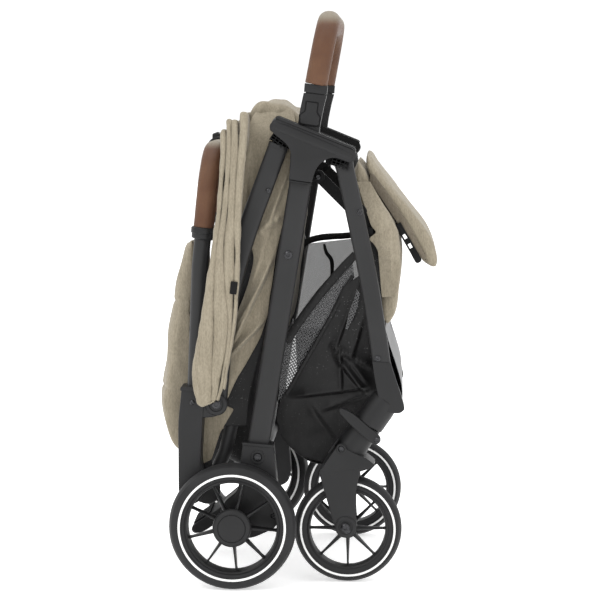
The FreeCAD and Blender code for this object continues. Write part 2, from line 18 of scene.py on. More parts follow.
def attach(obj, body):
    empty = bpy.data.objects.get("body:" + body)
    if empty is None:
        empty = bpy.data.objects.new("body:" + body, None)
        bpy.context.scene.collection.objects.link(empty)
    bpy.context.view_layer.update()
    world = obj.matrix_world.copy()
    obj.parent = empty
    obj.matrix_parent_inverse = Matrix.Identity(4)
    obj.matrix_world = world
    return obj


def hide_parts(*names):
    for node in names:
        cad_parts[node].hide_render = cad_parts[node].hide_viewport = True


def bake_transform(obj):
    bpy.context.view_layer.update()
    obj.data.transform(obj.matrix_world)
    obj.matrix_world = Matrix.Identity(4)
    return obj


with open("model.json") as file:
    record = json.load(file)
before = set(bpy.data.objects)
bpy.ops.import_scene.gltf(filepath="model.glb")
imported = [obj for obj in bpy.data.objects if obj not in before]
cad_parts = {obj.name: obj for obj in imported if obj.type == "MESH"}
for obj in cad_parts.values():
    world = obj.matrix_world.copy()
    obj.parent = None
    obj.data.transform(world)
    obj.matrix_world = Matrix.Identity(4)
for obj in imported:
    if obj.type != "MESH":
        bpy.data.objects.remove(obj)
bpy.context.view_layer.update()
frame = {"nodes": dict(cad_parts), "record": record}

MM = 0.001
X_WAY, Y_WAY = Vector((1, 0, 0)), Vector((0, 1, 0))
FRAME_Y = 172.0  # from the middle plane to the middle of the side tubes
WELD = 2e-6  # metres below which two points become one
PUFF_FRAMES = 20  # frames of a pad's cloth simulation
CAD_BLACK = ("seat_brackets", "seat_links", "front_cross_tube", "hub_inners")
Point = tuple[float, float]
Corner = tuple[float, float, float]
Colour = tuple[float, float, float]
Knot = tuple[float, ...]
Fold = tuple[Point, Point, float, float]
Place = Callable[[float, float], Vector]
Mesh = bpy.types.Object


class Side(Enum):
    """A side of the pushchair, with its sign along Y."""

    RIGHT = -1
    LEFT = 1

    @property
    def label(self) -> str:
        """The side's word in piece and body names."""
        return self.name.lower()


# ---------------------------------------------------------------- modelling
def clear_selection() -> None:
    """Leaves object mode with nothing selected."""
    if bpy.context.object and bpy.context.object.mode != "OBJECT":
        bpy.ops.object.mode_set(mode="OBJECT")
    bpy.ops.object.select_all(action="DESELECT")


def pick(piece: Mesh) -> None:
    """Makes a piece the only selected and active object."""
    clear_selection()
    piece.select_set(True)
    bpy.context.view_layer.objects.active = piece


def apply_modifier(piece: Mesh, kind: str, **settings: Any) -> None:
    """Adds a modifier and applies it.

    Args:
        piece: The mesh to change.
        kind: Blender's name of the modifier type.
        settings: The modifier's properties.
    """
    pick(piece)
    modifier = piece.modifiers.new(kind.title(), kind)
    for key, value in settings.items():
        setattr(modifier, key, value)
    bpy.ops.object.modifier_apply(modifier=modifier.name)


def smooth(piece: Mesh, degrees: float = 35.0) -> Mesh:
    """Shades a piece smooth up to an edge angle.

    Args:
        piece: The mesh to shade.
        degrees: Edges sharper than this stay crisp.

    Returns:
        The same piece.
    """
    pick(piece)
    bpy.ops.object.shade_smooth_by_angle(angle=math.radians(degrees))
    return piece


def bevelled(piece: Mesh, width: float, segments: int, degrees: float) -> None:
    """Rounds a piece's edges that are sharper than an angle, over a width in millimetres."""
    apply_modifier(piece, "BEVEL", width=width * MM, segments=segments, limit_method="ANGLE",
                   angle_limit=math.radians(degrees))


def face_outward() -> None:
    """Turns the normals of the mesh in edit mode outward and leaves edit mode."""
    bpy.ops.mesh.select_all(action="SELECT")
    bpy.ops.mesh.normals_make_consistent(inside=False)
    bpy.ops.object.mode_set(mode="OBJECT")


def rounded(corners: Sequence[Corner], steps: int = 5) -> list[Point]:
    """Rounds an outline's corners.

    Args:
        corners: (x, z, reach) of each corner; reach is how far the rounding runs along each edge.
        steps: Straight runs that make one rounded corner.

    Returns:
        The points of the rounded outline.
    """
    points = []
    for index, (x, z, reach) in enumerate(corners):
        here = Vector((x, z))
        if reach <= 0:
            points.append((x, z))
            continue
        ends = []
        for other in (corners[index - 1], corners[(index + 1) % len(corners)]):
            way = Vector(other[:2]) - here
            ends.append(here + way.normalized() * min(reach, 0.48 * way.length))
        for step in range(steps + 1):
            t = step / steps
            points.append(tuple(ends[0] * (1 - t) ** 2 + here * 2 * t * (1 - t) + ends[1] * t * t))
    return points


def plate(name: str, corners: Sequence[Corner], y0: float, y1: float, bevel: float = 1.0,
          segments: int = 3) -> Mesh:
    """A moulded plate: an outline pushed from y0 to y1, with rounded rims.

    Args:
        name: The piece's name.
        corners: The outline's (x, z, reach) corners.
        y0: Where the plate starts across the width.
        y1: Where it ends.
        bevel: Width of the rounded rim.
        segments: Facets of the rounded rim.

    Returns:
        The finished mesh.
    """
    points = rounded(corners)
    clear_selection()
    bpy.ops.mesh.primitive_circle_add(vertices=len(points), radius=0.1, fill_type="NGON")
    piece = bpy.context.object
    piece.name = name
    for vertex, (x, z) in zip(piece.data.vertices, points):
        vertex.co = Vector((x, y0, z)) * MM
    bpy.ops.object.mode_set(mode="EDIT")
    bpy.ops.mesh.select_all(action="SELECT")
    bpy.ops.mesh.extrude_region_move(TRANSFORM_OT_translate={"value": (0, (y1 - y0) * MM, 0)})
    face_outward()
    bevelled(piece, bevel, segments, 40)
    return smooth(piece)


def mapped(name: str, across: int, along: int, place: Place, closed: bool = False) -> Mesh:
    """A grid whose points are moved onto a surface.

    Args:
        name: The piece's name.
        across: Number of faces across the grid.
        along: Number of faces along the grid.
        place: Gives a point in millimetres for shares (u, v) from 0 to 1.
        closed: Joins the edges u = 0 and u = 1 and closes the two open ends.

    Returns:
        The mesh.
    """
    clear_selection()
    bpy.ops.mesh.primitive_grid_add(x_subdivisions=across, y_subdivisions=along, size=1)
    piece = bpy.context.object
    piece.name = name
    for vertex in piece.data.vertices:
        vertex.co = place(vertex.co.x + 0.5, vertex.co.y + 0.5) * MM
    bpy.ops.object.mode_set(mode="EDIT")
    bpy.ops.mesh.select_all(action="SELECT")
    if closed:
        bpy.ops.mesh.remove_doubles(threshold=WELD)
        bpy.ops.mesh.fill_holes(sides=0)
    face_outward()
    return piece


def through(knots: Sequence[Knot], steps: int = 8) -> list[Vector]:
    """A smooth run of number rows through the given rows.

    Args:
        knots: Rows of numbers, such as (x, y, z, half width, half depth).
        steps: How many rows replace each gap.

    Returns:
        The rows as vectors, the last knot included.
    """
    rows = [Vector(k) for k in (knots[0], *knots, knots[-1])]
    run = []
    for a, b, c, d in zip(rows, rows[1:], rows[2:], rows[3:]):
        for step in range(steps):
            t = step / steps
            run.append(0.5 * (2 * b + (c - a) * t + (2 * a - 5 * b + 4 * c - d) * t * t
                              + (3 * b - a - 3 * c + d) * t * t * t))
    return run + [rows[-1]]


def bar(name: str, rows: Sequence[Vector], reference: Vector, power: float = 2.0,
        around: int = 28, bevel: float = 1.0, ripple: float = 0.0, pitch: float = 40.0) -> Mesh:
    """A bar of oval section along a line of rows (x, y, z, half size along reference, other half size).

    Args:
        name: The piece's name.
        rows: The stations of the bar, in millimetres.
        reference: The direction in which the first half size is measured.
        power: 2 gives an ellipse and a larger number a squarer section.
        around: Faces around the bar.
        bevel: Rounding of its end faces.
        ripple: Height of soft irregular dents, for cloth.
        pitch: Size of those dents.

    Returns:
        The finished mesh.
    """
    frames = []
    for index, row in enumerate(rows):
        before, after = rows[max(index - 1, 0)], rows[min(index + 1, len(rows) - 1)]
        along = (Vector(after[:3]) - Vector(before[:3])).normalized()
        first = (reference - along * reference.dot(along)).normalized()
        frames.append((Vector(row[:3]), first * row[3], along.cross(first) * row[4]))

    def place(u: float, v: float) -> Vector:
        """Point at share u round the bar and v along it."""
        centre, first, second = frames[round(v * (len(rows) - 1))]
        turn = 2 * math.pi * u
        cosine, sine = math.cos(turn), math.sin(turn)
        reach = (abs(cosine) ** power + abs(sine) ** power) ** (-1 / power)
        point = centre + (first * cosine + second * sine) * reach
        if ripple:
            dent = noise.noise(point / pitch) + 0.5 * noise.noise(point / pitch * 2.3)
            point += (point - centre).normalized() * ripple * dent
        return point

    piece = mapped(name, around, len(rows) - 1, place, closed=True)
    if bevel:
        bevelled(piece, bevel, 3, 55)
    return smooth(piece)


def turned(name: str, profile: Sequence[Point], centre: Point, y: float, steps: int = 96,
           crisp: float = 30.0) -> Mesh:
    """A ring turned about Y from a closed profile.

    Args:
        name: The piece's name.
        profile: (radius, offset across the width) points.
        centre: (x, z) of the axis.
        y: Place across the width that offsets are measured from.
        steps: Facets round the ring.
        crisp: Edges sharper than this many degrees stay crisp.

    Returns:
        The finished mesh.
    """
    clear_selection()
    bpy.ops.mesh.primitive_circle_add(vertices=len(profile), radius=0.1, fill_type="NOTHING")
    piece = bpy.context.object
    piece.name = name
    for vertex, (radius, offset) in zip(piece.data.vertices, profile):
        vertex.co = Vector((centre[0] + radius, y + offset, centre[1])) * MM
    bpy.ops.object.mode_set(mode="EDIT")
    bpy.ops.mesh.select_all(action="SELECT")
    bpy.ops.mesh.spin(steps=steps, angle=2 * math.pi, axis=(0, 1, 0),
                      center=Vector((centre[0], y, centre[1])) * MM, use_auto_merge=True)
    bpy.ops.mesh.select_all(action="SELECT")
    bpy.ops.mesh.remove_doubles(threshold=WELD)
    bpy.ops.mesh.dissolve_degenerate(threshold=WELD / 2)
    face_outward()
    return smooth(piece, crisp)


def joined(name: str, pieces: Sequence[Mesh]) -> Mesh:
    """Joins meshes into one piece.

    Args:
        name: The joined piece's name.
        pieces: Meshes that become one.

    Returns:
        The joined piece.
    """
    clear_selection()
    for piece in pieces:
        piece.select_set(True)
    bpy.context.view_layer.objects.active = pieces[0]
    if len(pieces) > 1:
        bpy.ops.object.join()
    pieces[0].name = name
    return pieces[0]


def mirrored(piece: Mesh, name: str) -> Mesh:
    """The copy of a piece on the other side, with its own mesh.

    Args:
        piece: The right-hand piece.
        name: The copy's name.

    Returns:
        The left-hand piece.
    """
    twin = piece.copy()
    twin.data = piece.data.copy()
    twin.name = name
    bpy.context.scene.collection.objects.link(twin)
    twin.data.transform(Matrix.Scale(-1, 4, Y_WAY))
    twin.data.flip_normals()
    return twin


def cloth_sheet(name: str, across: int, along: int, place: Place, thickness: float = 1.6,
                levels: int = 1) -> Mesh:
    """A sheet of cloth with thickness and rounded edges.

    Args:
        name: The piece's name.
        across: Faces across the sheet.
        along: Faces along the sheet.
        place: Gives a point in millimetres for shares (u, v).
        thickness: The cloth's thickness.
        levels: Subdivision levels.

    Returns:
        The finished mesh.
    """
    piece = mapped(name, across, along, place)
    apply_modifier(piece, "SOLIDIFY", thickness=thickness * MM, offset=0)
    if levels:
        apply_modifier(piece, "SUBSURF", levels=levels, render_levels=levels)
    return smooth(piece, 60)


def stuffed(piece: Mesh, voxel: float, pressure: float, cap: float) -> Mesh:
    """Puffs a closed pad up with a cloth simulation.

    Args:
        piece: The pad before it is stuffed.
        voxel: Size of the even grid it is remade with.
        pressure: Air pressure inside the pad.
        cap: Furthest that a point may move.

    Returns:
        The same piece, smooth and puffed.
    """
    apply_modifier(piece, "REMESH", mode="VOXEL", voxel_size=voxel * MM)
    rest = [vertex.co.copy() for vertex in piece.data.vertices]
    modifier = piece.modifiers.new("Cloth", "CLOTH")
    settings = modifier.settings
    settings.use_pressure = True
    settings.uniform_pressure_force = pressure
    settings.effector_weights.gravity = 0
    settings.quality = 4
    modifier.point_cache.frame_start = 1
    modifier.point_cache.frame_end = PUFF_FRAMES
    for number in range(1, PUFF_FRAMES + 1):
        bpy.context.scene.frame_set(number)
    pick(piece)
    bpy.ops.object.modifier_apply(modifier=modifier.name)
    bpy.context.scene.frame_set(1)
    for vertex, start in zip(piece.data.vertices, rest):
        move = vertex.co - start
        if move.length > cap * MM:
            vertex.co = start + move.normalized() * cap * MM
    apply_modifier(piece, "SMOOTH", factor=0.5, iterations=3)
    apply_modifier(piece, "SUBSURF", levels=1, render_levels=1)
    return smooth(piece, 75)


# ---------------------------------------------------------------- shading
class Term:
    """A shader socket with arithmetic that adds Math nodes."""

    def __init__(self, graph: "Graph", socket: Any) -> None:
        """Wraps a socket of a graph."""
        self.graph, self.socket = graph, socket

    def _math(self, operation: str, first: Any, second: Any = None) -> "Term":
        """One Math node on the given terms."""
        links = {0: first} if second is None else {0: first, 1: second}
        return self.graph.node("ShaderNodeMath", {"operation": operation}, links)

    def __add__(self, other: Any) -> "Term":
        """Sum."""
        return self._math("ADD", self, other)

    __radd__ = __add__

    def __sub__(self, other: Any) -> "Term":
        """Difference."""
        return self._math("SUBTRACT", self, other)

    def __rsub__(self, other: Any) -> "Term":
        """Reflected difference."""
        return self._math("SUBTRACT", other, self)

    def __mul__(self, other: Any) -> "Term":
        """Product."""
        return self._math("MULTIPLY", self, other)

    __rmul__ = __mul__

    def __truediv__(self, other: Any) -> "Term":
        """Quotient."""
        return self._math("DIVIDE", self, other)

    def __pow__(self, other: Any) -> "Term":
        """Power."""
        return self._math("POWER", self, other)

    def sine(self) -> "Term":
        """Sine of the value."""
        return self._math("SINE", self)

    def size(self) -> "Term":
        """The value without its sign."""
        return self._math("ABSOLUTE", self)

    def larger(self, other: Any) -> "Term":
        """The larger of two values."""
        return self._math("MAXIMUM", self, other)

    def over(self, limit: float) -> "Term":
        """1 where the value is above a limit, else 0."""
        return self._math("GREATER_THAN", self, limit)

    def ramp(self, low: float, high: float) -> "Term":
        """Smooth 0 to 1 as the value goes from low to high."""
        return self.graph.node("ShaderNodeMapRange", {"interpolation_type": "SMOOTHSTEP"},
                               {"Value": self, "From Min": low, "From Max": high})


class Graph:
    """Builds the nodes of one material."""

    def __init__(self, name: str) -> None:
        """Starts a material with a Principled shader."""
        self.material = bpy.data.materials.new(name)
        self.material.use_nodes = True
        self.tree = self.material.node_tree
        self.tree.nodes.clear()
        self.shader = self.tree.nodes.new("ShaderNodeBsdfPrincipled")
        output = self.tree.nodes.new("ShaderNodeOutputMaterial")
        self.tree.links.new(self.shader.outputs[0], output.inputs[0])

    def node(self, kind: str, settings: dict[str, Any] | None = None,
             inputs: dict[Any, Any] | None = None, output: Any = 0) -> Term:
        """Adds a node.

        Args:
            kind: Blender's node type.
            settings: Properties set before the sockets are used.
            inputs: Values or terms for its input sockets.
            output: Which output socket the returned term wraps.

        Returns:
            The chosen output as a term.
        """
        made = self.tree.nodes.new(kind)
        for key, value in (settings or {}).items():
            setattr(made, key, value)
        for key, value in (inputs or {}).items():
            if isinstance(value, Term):
                self.tree.links.new(value.socket, made.inputs[key])
            else:
                made.inputs[key].default_value = value
        return Term(self, made.outputs[output])

    def place(self, scale: Sequence[float] = (1, 1, 1)) -> Term:
        """Object coordinates stretched by scale."""
        where = self.node("ShaderNodeTexCoord", output="Object")
        return self.node("ShaderNodeMapping", inputs={"Vector": where, "Scale": scale})

    def axes(self) -> tuple[Term, Term, Term]:
        """The x, y and z of Object coordinates."""
        where = self.node("ShaderNodeTexCoord", output="Object")
        split = self.tree.nodes.new("ShaderNodeSeparateXYZ")
        self.tree.links.new(where.socket, split.inputs[0])
        return tuple(Term(self, split.outputs[number]) for number in range(3))

    def speckle(self, scale: float, detail: float = 2.0,
                stretch: Sequence[float] = (1, 1, 1)) -> Term:
        """Noise from 0 to 1."""
        return self.node("ShaderNodeTexNoise", inputs={
            "Vector": self.place(stretch), "Scale": scale, "Detail": detail})

    def blend(self, share: Term, first: Colour | Term, second: Colour | Term) -> Term:
        """Mix of two colours."""
        return self.node("ShaderNodeMix", {"data_type": "RGBA"}, {
            "Factor": share, 6: first if isinstance(first, Term) else (*first, 1),
            7: second if isinstance(second, Term) else (*second, 1)}, output=2)

    def bump(self, height: Term, distance: float, strength: float = 1.0) -> None:
        """Feeds the shader's normal from a height in millimetres of distance."""
        normal = self.node("ShaderNodeBump", inputs={
            "Height": height, "Distance": distance * MM, "Strength": strength})
        self.tree.links.new(normal.socket, self.shader.inputs["Normal"])

    def set(self, **values: Any) -> None:
        """Sets or links shader sockets; an underscore stands for a space in a socket's name."""
        for key, value in values.items():
            socket = self.shader.inputs[key.replace("_", " ")]
            if isinstance(value, Term):
                self.tree.links.new(value.socket, socket)
            elif isinstance(value, tuple) and len(value) == 3:
                socket.default_value = (*value, 1)
            else:
                socket.default_value = value


@dataclass(frozen=True)
class Charcoal:
    """Dark coated metal or moulded plastic with a fine even grain, its depth in millimetres."""

    name: str
    colour: Colour
    roughness: float
    grain: float
    grain_scale: float
    coat: float = 0.0
    shine: float = 0.28

    def make(self) -> bpy.types.Material:
        """Returns the finished material."""
        graph = Graph(self.name)
        cloud = graph.speckle(9.0, 3.0)
        fine = graph.speckle(self.grain_scale, 2.0)
        dark = tuple(c * 0.86 for c in self.colour)
        light = tuple(c * 1.16 for c in self.colour)
        graph.set(Base_Color=graph.blend(cloud.ramp(0.3, 0.7), dark, light),
                  Roughness=self.roughness + (fine - 0.5) * 0.12 + (cloud - 0.5) * 0.08,
                  Coat_Weight=self.coat, Coat_Roughness=0.3, Specular_IOR_Level=self.shine)
        graph.bump(fine, self.grain)
        return graph.material


@dataclass(frozen=True)
class Foam:
    """Matt tyre foam with faint rings left by its mould."""

    name: str = "tyre foam"

    def make(self) -> bpy.types.Material:
        """Returns the finished material."""
        graph = Graph(self.name)
        fine = graph.speckle(1400.0, 3.0)
        dust = graph.speckle(26.0, 4.0)
        tint = graph.blend(dust.ramp(0.35, 0.75), (0.009, 0.009, 0.0095), (0.017, 0.017, 0.018))
        graph.set(Base_Color=tint, Roughness=0.5 + dust * 0.2, Specular_IOR_Level=0.3)
        graph.bump(fine, 0.08)
        return graph.material


@dataclass(frozen=True)
class Reflective:
    """Pale reflective ring moulded into the tyre's side."""

    name: str = "reflective ring"

    def make(self) -> bpy.types.Material:
        """Returns the finished material."""
        graph = Graph(self.name)
        beads = graph.speckle(1800.0, 1.0)
        graph.set(Base_Color=graph.blend(beads, (0.72, 0.72, 0.71), (0.86, 0.86, 0.85)),
                  Roughness=0.32 + beads * 0.12, Coat_Weight=0.4, Coat_Roughness=0.2)
        graph.bump(beads, 0.03)
        return graph.material


@dataclass(frozen=True)
class Steel:
    """Blackened steel of rivets, pins and screws."""

    name: str = "blackened steel"

    def make(self) -> bpy.types.Material:
        """Returns the finished material."""
        graph = Graph(self.name)
        turn = graph.speckle(300.0, 3.0, (1, 6, 1))
        graph.set(Base_Color=graph.blend(turn, (0.022, 0.022, 0.024), (0.06, 0.06, 0.063)),
                  Metallic=0.8, Roughness=0.2 + turn * 0.14)
        graph.bump(turn, 0.02)
        return graph.material


@dataclass(frozen=True)
class Leather:
    """Brown leather-look wrap with a painted highlight that turns it paler over the last stretch below
    its top, in metres.
    """

    name: str
    top: float
    fade: float

    def make(self) -> bpy.types.Material:
        """Returns the finished material."""
        graph = Graph(self.name)
        _, _, height = graph.axes()
        patches = graph.speckle(24.0, 3.0)
        grain = graph.node("ShaderNodeTexVoronoi", {"feature": "DISTANCE_TO_EDGE"}, {
            "Vector": graph.place(), "Scale": 900.0})
        pores = graph.speckle(1500.0, 2.0)
        brown = graph.blend(patches.ramp(0.3, 0.72), (0.088, 0.0365, 0.016), (0.13, 0.063, 0.031))
        creased = graph.blend(grain.ramp(0.0, 0.12), (0.08, 0.038, 0.025), brown)
        # Painted highlight: a pale beige-grey band over the top bend, where light from above falls.
        painted_highlight = (height + (patches - 0.5) * 0.006).ramp(self.top - self.fade, self.top)
        graph.set(Base_Color=graph.blend(painted_highlight, creased, (0.2, 0.17, 0.125)),
                  Roughness=0.46 + pores * 0.12, Specular_IOR_Level=0.24)
        graph.bump(grain.ramp(0.0, 0.2) + pores * 0.4, 0.09)
        return graph.material


@dataclass(frozen=True)
class Melange:
    """Heathered plain weave of a thread width in millimetres."""

    name: str
    dark: Colour
    light: Colour
    thread: float = 0.9
    roughness: float = 0.86
    glints: float = 0.0
    sheen: float = 0.12
    shine: float = 0.2

    def make(self) -> bpy.types.Material:
        """Returns the finished material."""
        graph = Graph(self.name)
        x, y, z = graph.axes()
        step = math.pi / (self.thread * MM)
        warp = ((x + y) * step).sine().size()
        weft = (z * step).sine().size()
        flecks = graph.speckle(620.0, 3.0, (1, 1, 0.4))
        slubs = graph.speckle(260.0, 2.0, (1, 1, 0.12))
        shade = graph.speckle(14.0, 2.0)
        share = flecks.ramp(0.28, 0.72) * 0.55 + slubs.ramp(0.3, 0.7) * 0.3 + shade.ramp(0.3,
                                                                                         0.7) * 0.15
        colour = graph.blend(share, self.dark, self.light)
        if self.glints:
            dots = graph.speckle(430.0, 1.0).ramp(0.69, 0.74) * shade.ramp(0.35, 0.7)
            colour = graph.blend(dots * self.glints, colour, (0.3, 0.3, 0.3))
        graph.set(Base_Color=colour, Roughness=self.roughness + (flecks - 0.5) * 0.1,
                  Sheen_Weight=self.sheen, Sheen_Roughness=0.5, Specular_IOR_Level=self.shine)
        graph.bump(warp.larger(weft) * 0.5 + flecks, 0.16)
        return graph.material


@dataclass(frozen=True)
class Netting:
    """Open net whose holes let the background through.

    pitch is the mesh size in millimetres and line the thread's share of it; veil and solid are
    the cover of a hole and of a thread in each of the sheet's two faces.
    """

    name: str
    colour: Colour
    pitch: float
    line: float
    veil: float
    solid: float = 1.0

    def make(self) -> bpy.types.Material:
        """Returns the finished material."""
        graph = Graph(self.name)
        x, y, z = graph.axes()
        step = math.pi / (self.pitch * MM)
        first = ((x + y + z * 0.6) * step).sine().size()
        second = ((z - (x + y) * 0.6) * step).sine().size()
        thread = (1 - first).larger(1 - second).over(1 - self.line)
        tint = graph.speckle(500.0, 2.0)
        graph.set(Base_Color=graph.blend(tint, tuple(c * 0.8 for c in self.colour), self.colour),
                  Roughness=0.7 + tint * 0.1, Alpha=thread * (self.solid - self.veil) + self.veil)
        graph.bump(tint, 0.1)
        return graph.material


class Finishes:
    """Every finish of the pushchair, made once."""

    def __init__(self) -> None:
        """Makes the materials."""
        self.frame_paint = Charcoal("frame paint", (0.0165, 0.0165, 0.017), roughness=0.48,
                                    grain=0.04, grain_scale=2200.0).make()
        self.moulding = Charcoal("moulding", (0.0105, 0.0105, 0.011), roughness=0.47,
                                 grain=0.07, grain_scale=1600.0).make()
        self.soft_black = Charcoal("soft black plastic", (0.005, 0.005, 0.0053), roughness=0.6,
                                   grain=0.06, grain_scale=1500.0, shine=0.15).make()
        self.footrest = Charcoal("footrest grey", (0.018, 0.0185, 0.02), roughness=0.46,
                                 grain=0.02, grain_scale=1200.0, coat=0.2).make()
        self.foam = Foam().make()
        self.ring = Reflective().make()
        self.steel = Steel().make()
        self.handle_leather = Leather("handle leather", top=0.612, fade=0.012).make()
        self.bumper_leather = Leather("bumper leather", top=0.786, fade=0.016).make()
        self.sand = Melange("sand melange", (0.2, 0.172, 0.124), (0.312, 0.275, 0.208)).make()
        # Painted shade: a darker copy of the sand melange for cloth that lies in shadow.
        self.shaded_sand = Melange("sand lining", (0.1, 0.083, 0.06), (0.17, 0.145, 0.11)).make()
        self.black_cloth = Melange("black cloth", (0.003, 0.003, 0.0033), (0.008, 0.0075, 0.0075),
                                   thread=0.7, roughness=0.5, glints=0.35, sheen=0.0,
                                   shine=0.3).make()
        self.grey_net = Netting("grey net", (0.2, 0.203, 0.208), pitch=1.8, line=0.7, veil=0.48,
                                solid=0.7).make()
        self.dark_net = Netting("dark net", (0.09, 0.09, 0.092), pitch=4.0, line=0.4,
                                veil=0.46).make()

    def of_slot(self, slot: str) -> bpy.types.Material:
        """The finish that a record slot takes.

        Args:
            slot: The slot's name.

        Returns:
            Its material.
        """
        return {"frame_paint": self.frame_paint, "moulding": self.moulding, "tyre_foam": self.foam,
                "pin_steel": self.steel, "grip_leather": self.handle_leather,
                "canopy_fabric": self.sand, "basket_fabric": self.black_cloth,
                "footrest_plastic": self.footrest}[slot]


@dataclass
class Fitter:
    """Dresses finished pieces and fixes them to their bodies."""

    finishes: Finishes

    def dress(self, piece: Mesh, material: bpy.types.Material) -> Mesh:
        """Gives a piece its material and reports it."""
        piece.data.materials.clear()
        piece.data.materials.append(material)
        logging.info("%s: %d faces", piece.name, len(piece.data.polygons))
        return piece

    def fit(self, piece: Mesh, material: bpy.types.Material, body: str,
            stands_for: Iterable[str] = ()) -> Mesh:
        """Dresses a piece and lets it ride on a body.

        Args:
            piece: The finished mesh.
            material: Its finish.
            body: The body it moves with.
            stands_for: CAD nodes that it replaces.

        Returns:
            The same piece.
        """
        self.dress(piece, material)
        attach(piece, body)
        if stands_for:
            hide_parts(*stands_for)
        return piece

    def pair(self, piece: Mesh, material: bpy.types.Material, body: str,
             stands_for: Iterable[str] = ()) -> list[Mesh]:
        """Fits a right-hand piece and its left-hand copy; {side} in a name becomes right or left."""
        stem = piece.name
        twin = mirrored(piece, stem + "_left")
        piece.name = stem + "_right"
        return [self.fit(made, material, body.format(side=side.label),
                         [node.format(side=side.label) for node in stands_for])
                for made, side in ((piece, Side.RIGHT), (twin, Side.LEFT))]


def declare_sheet(width: float, length: float) -> None:
    """Takes the size that a stitched sheet of cloth was cut from, and does nothing with it; its area is
    one side's.

    Args:
        width: Width of the rectangle that it was cut from, in millimetres; not used.
        length: Its length; not used.
    """
    width * MM
    length * MM


# ---------------------------------------------------------------- rigid pieces
@dataclass
class Rivets:
    """Domed rivets and screws along the frame."""

    finishes: Finishes

    def dome(self, name: str, point: Point, face_y: float, radius: float, height: float,
             socket: float) -> Mesh:
        """A domed head with a key hole, on a face that looks to the right.

        Args:
            name: The piece's name.
            point: (x, z) of its middle.
            face_y: The face it sits on.
            radius: The head's radius.
            height: How far it stands out.
            socket: Radius of the key hole.

        Returns:
            The finished mesh.
        """
        profile = [(0.0, 0.6), (radius * 0.9, 0.6), (radius, 0.0), (radius * 0.93, -height * 0.45),
                   (radius * 0.72, -height * 0.8), (socket * 1.25, -height), (socket, -height * 0.95),
                   (socket * 0.92, -height * 0.3), (0.0, -height * 0.25)]
        return turned(name, profile, point, face_y, 32)

    def build(self, fitter: Fitter) -> None:
        """Makes every head, right and left."""
        steel = self.finishes.steel
        fitted = [("leg_rivet", (-7, 458), -183.2, 6.0, 2.4, 2.6, "chassis"),
                  ("push_rivet", (-34, 546), -183.6, 3.6, 2.0, 1.2, "push_frame"),
                  ("seat_rivet", (91, 517), -183.2, 4.2, 2.0, 2.0, "front_frame"),
                  ("joint_rivet", (116, 316), -183.2, 4.4, 2.2, 1.8, "front_frame"),
                  ("housing_screw", (-49, 179), -191.6, 5.2, 2.6, 2.6, "chassis"),
                  ("brace_screw", (-27, 97), -189.4, 4.6, 1.8, 2.0, "chassis"),
                  ("link_rivet", (33, 564), -158.2, 4.4, 2.2, 1.8, "chassis"),
                  ("knuckle_screw", (-139, 255), -192.4, 3.6, 1.6, 1.6, "handle"),
                  ("lobe_screw", (-106, 252), -191.4, 6.6, 1.8, 2.4, "handle"),
                  ("crown_screw", (66, 190), -183.6, 4.0, 1.8, 2.0, "swivel_{side}"),
                  ("lever_screw", (116, 203), -186.2, 4.4, 1.6, 2.2, "swivel_lever_{side}"),
                  ("fork_bolt", (72, 81), -187.2, 6.4, 3.4, 2.8, "swivel_{side}")]
        hidden_pins = {"leg_rivet": "frame_pins", "seat_rivet": "leg_pins",
                       "lobe_screw": "knuckle_pins"}
        for name, *shape, body in fitted:
            right, _ = fitter.pair(self.dome(name, *shape), steel, body)
            if name in hidden_pins:
                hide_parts(hidden_pins[name])


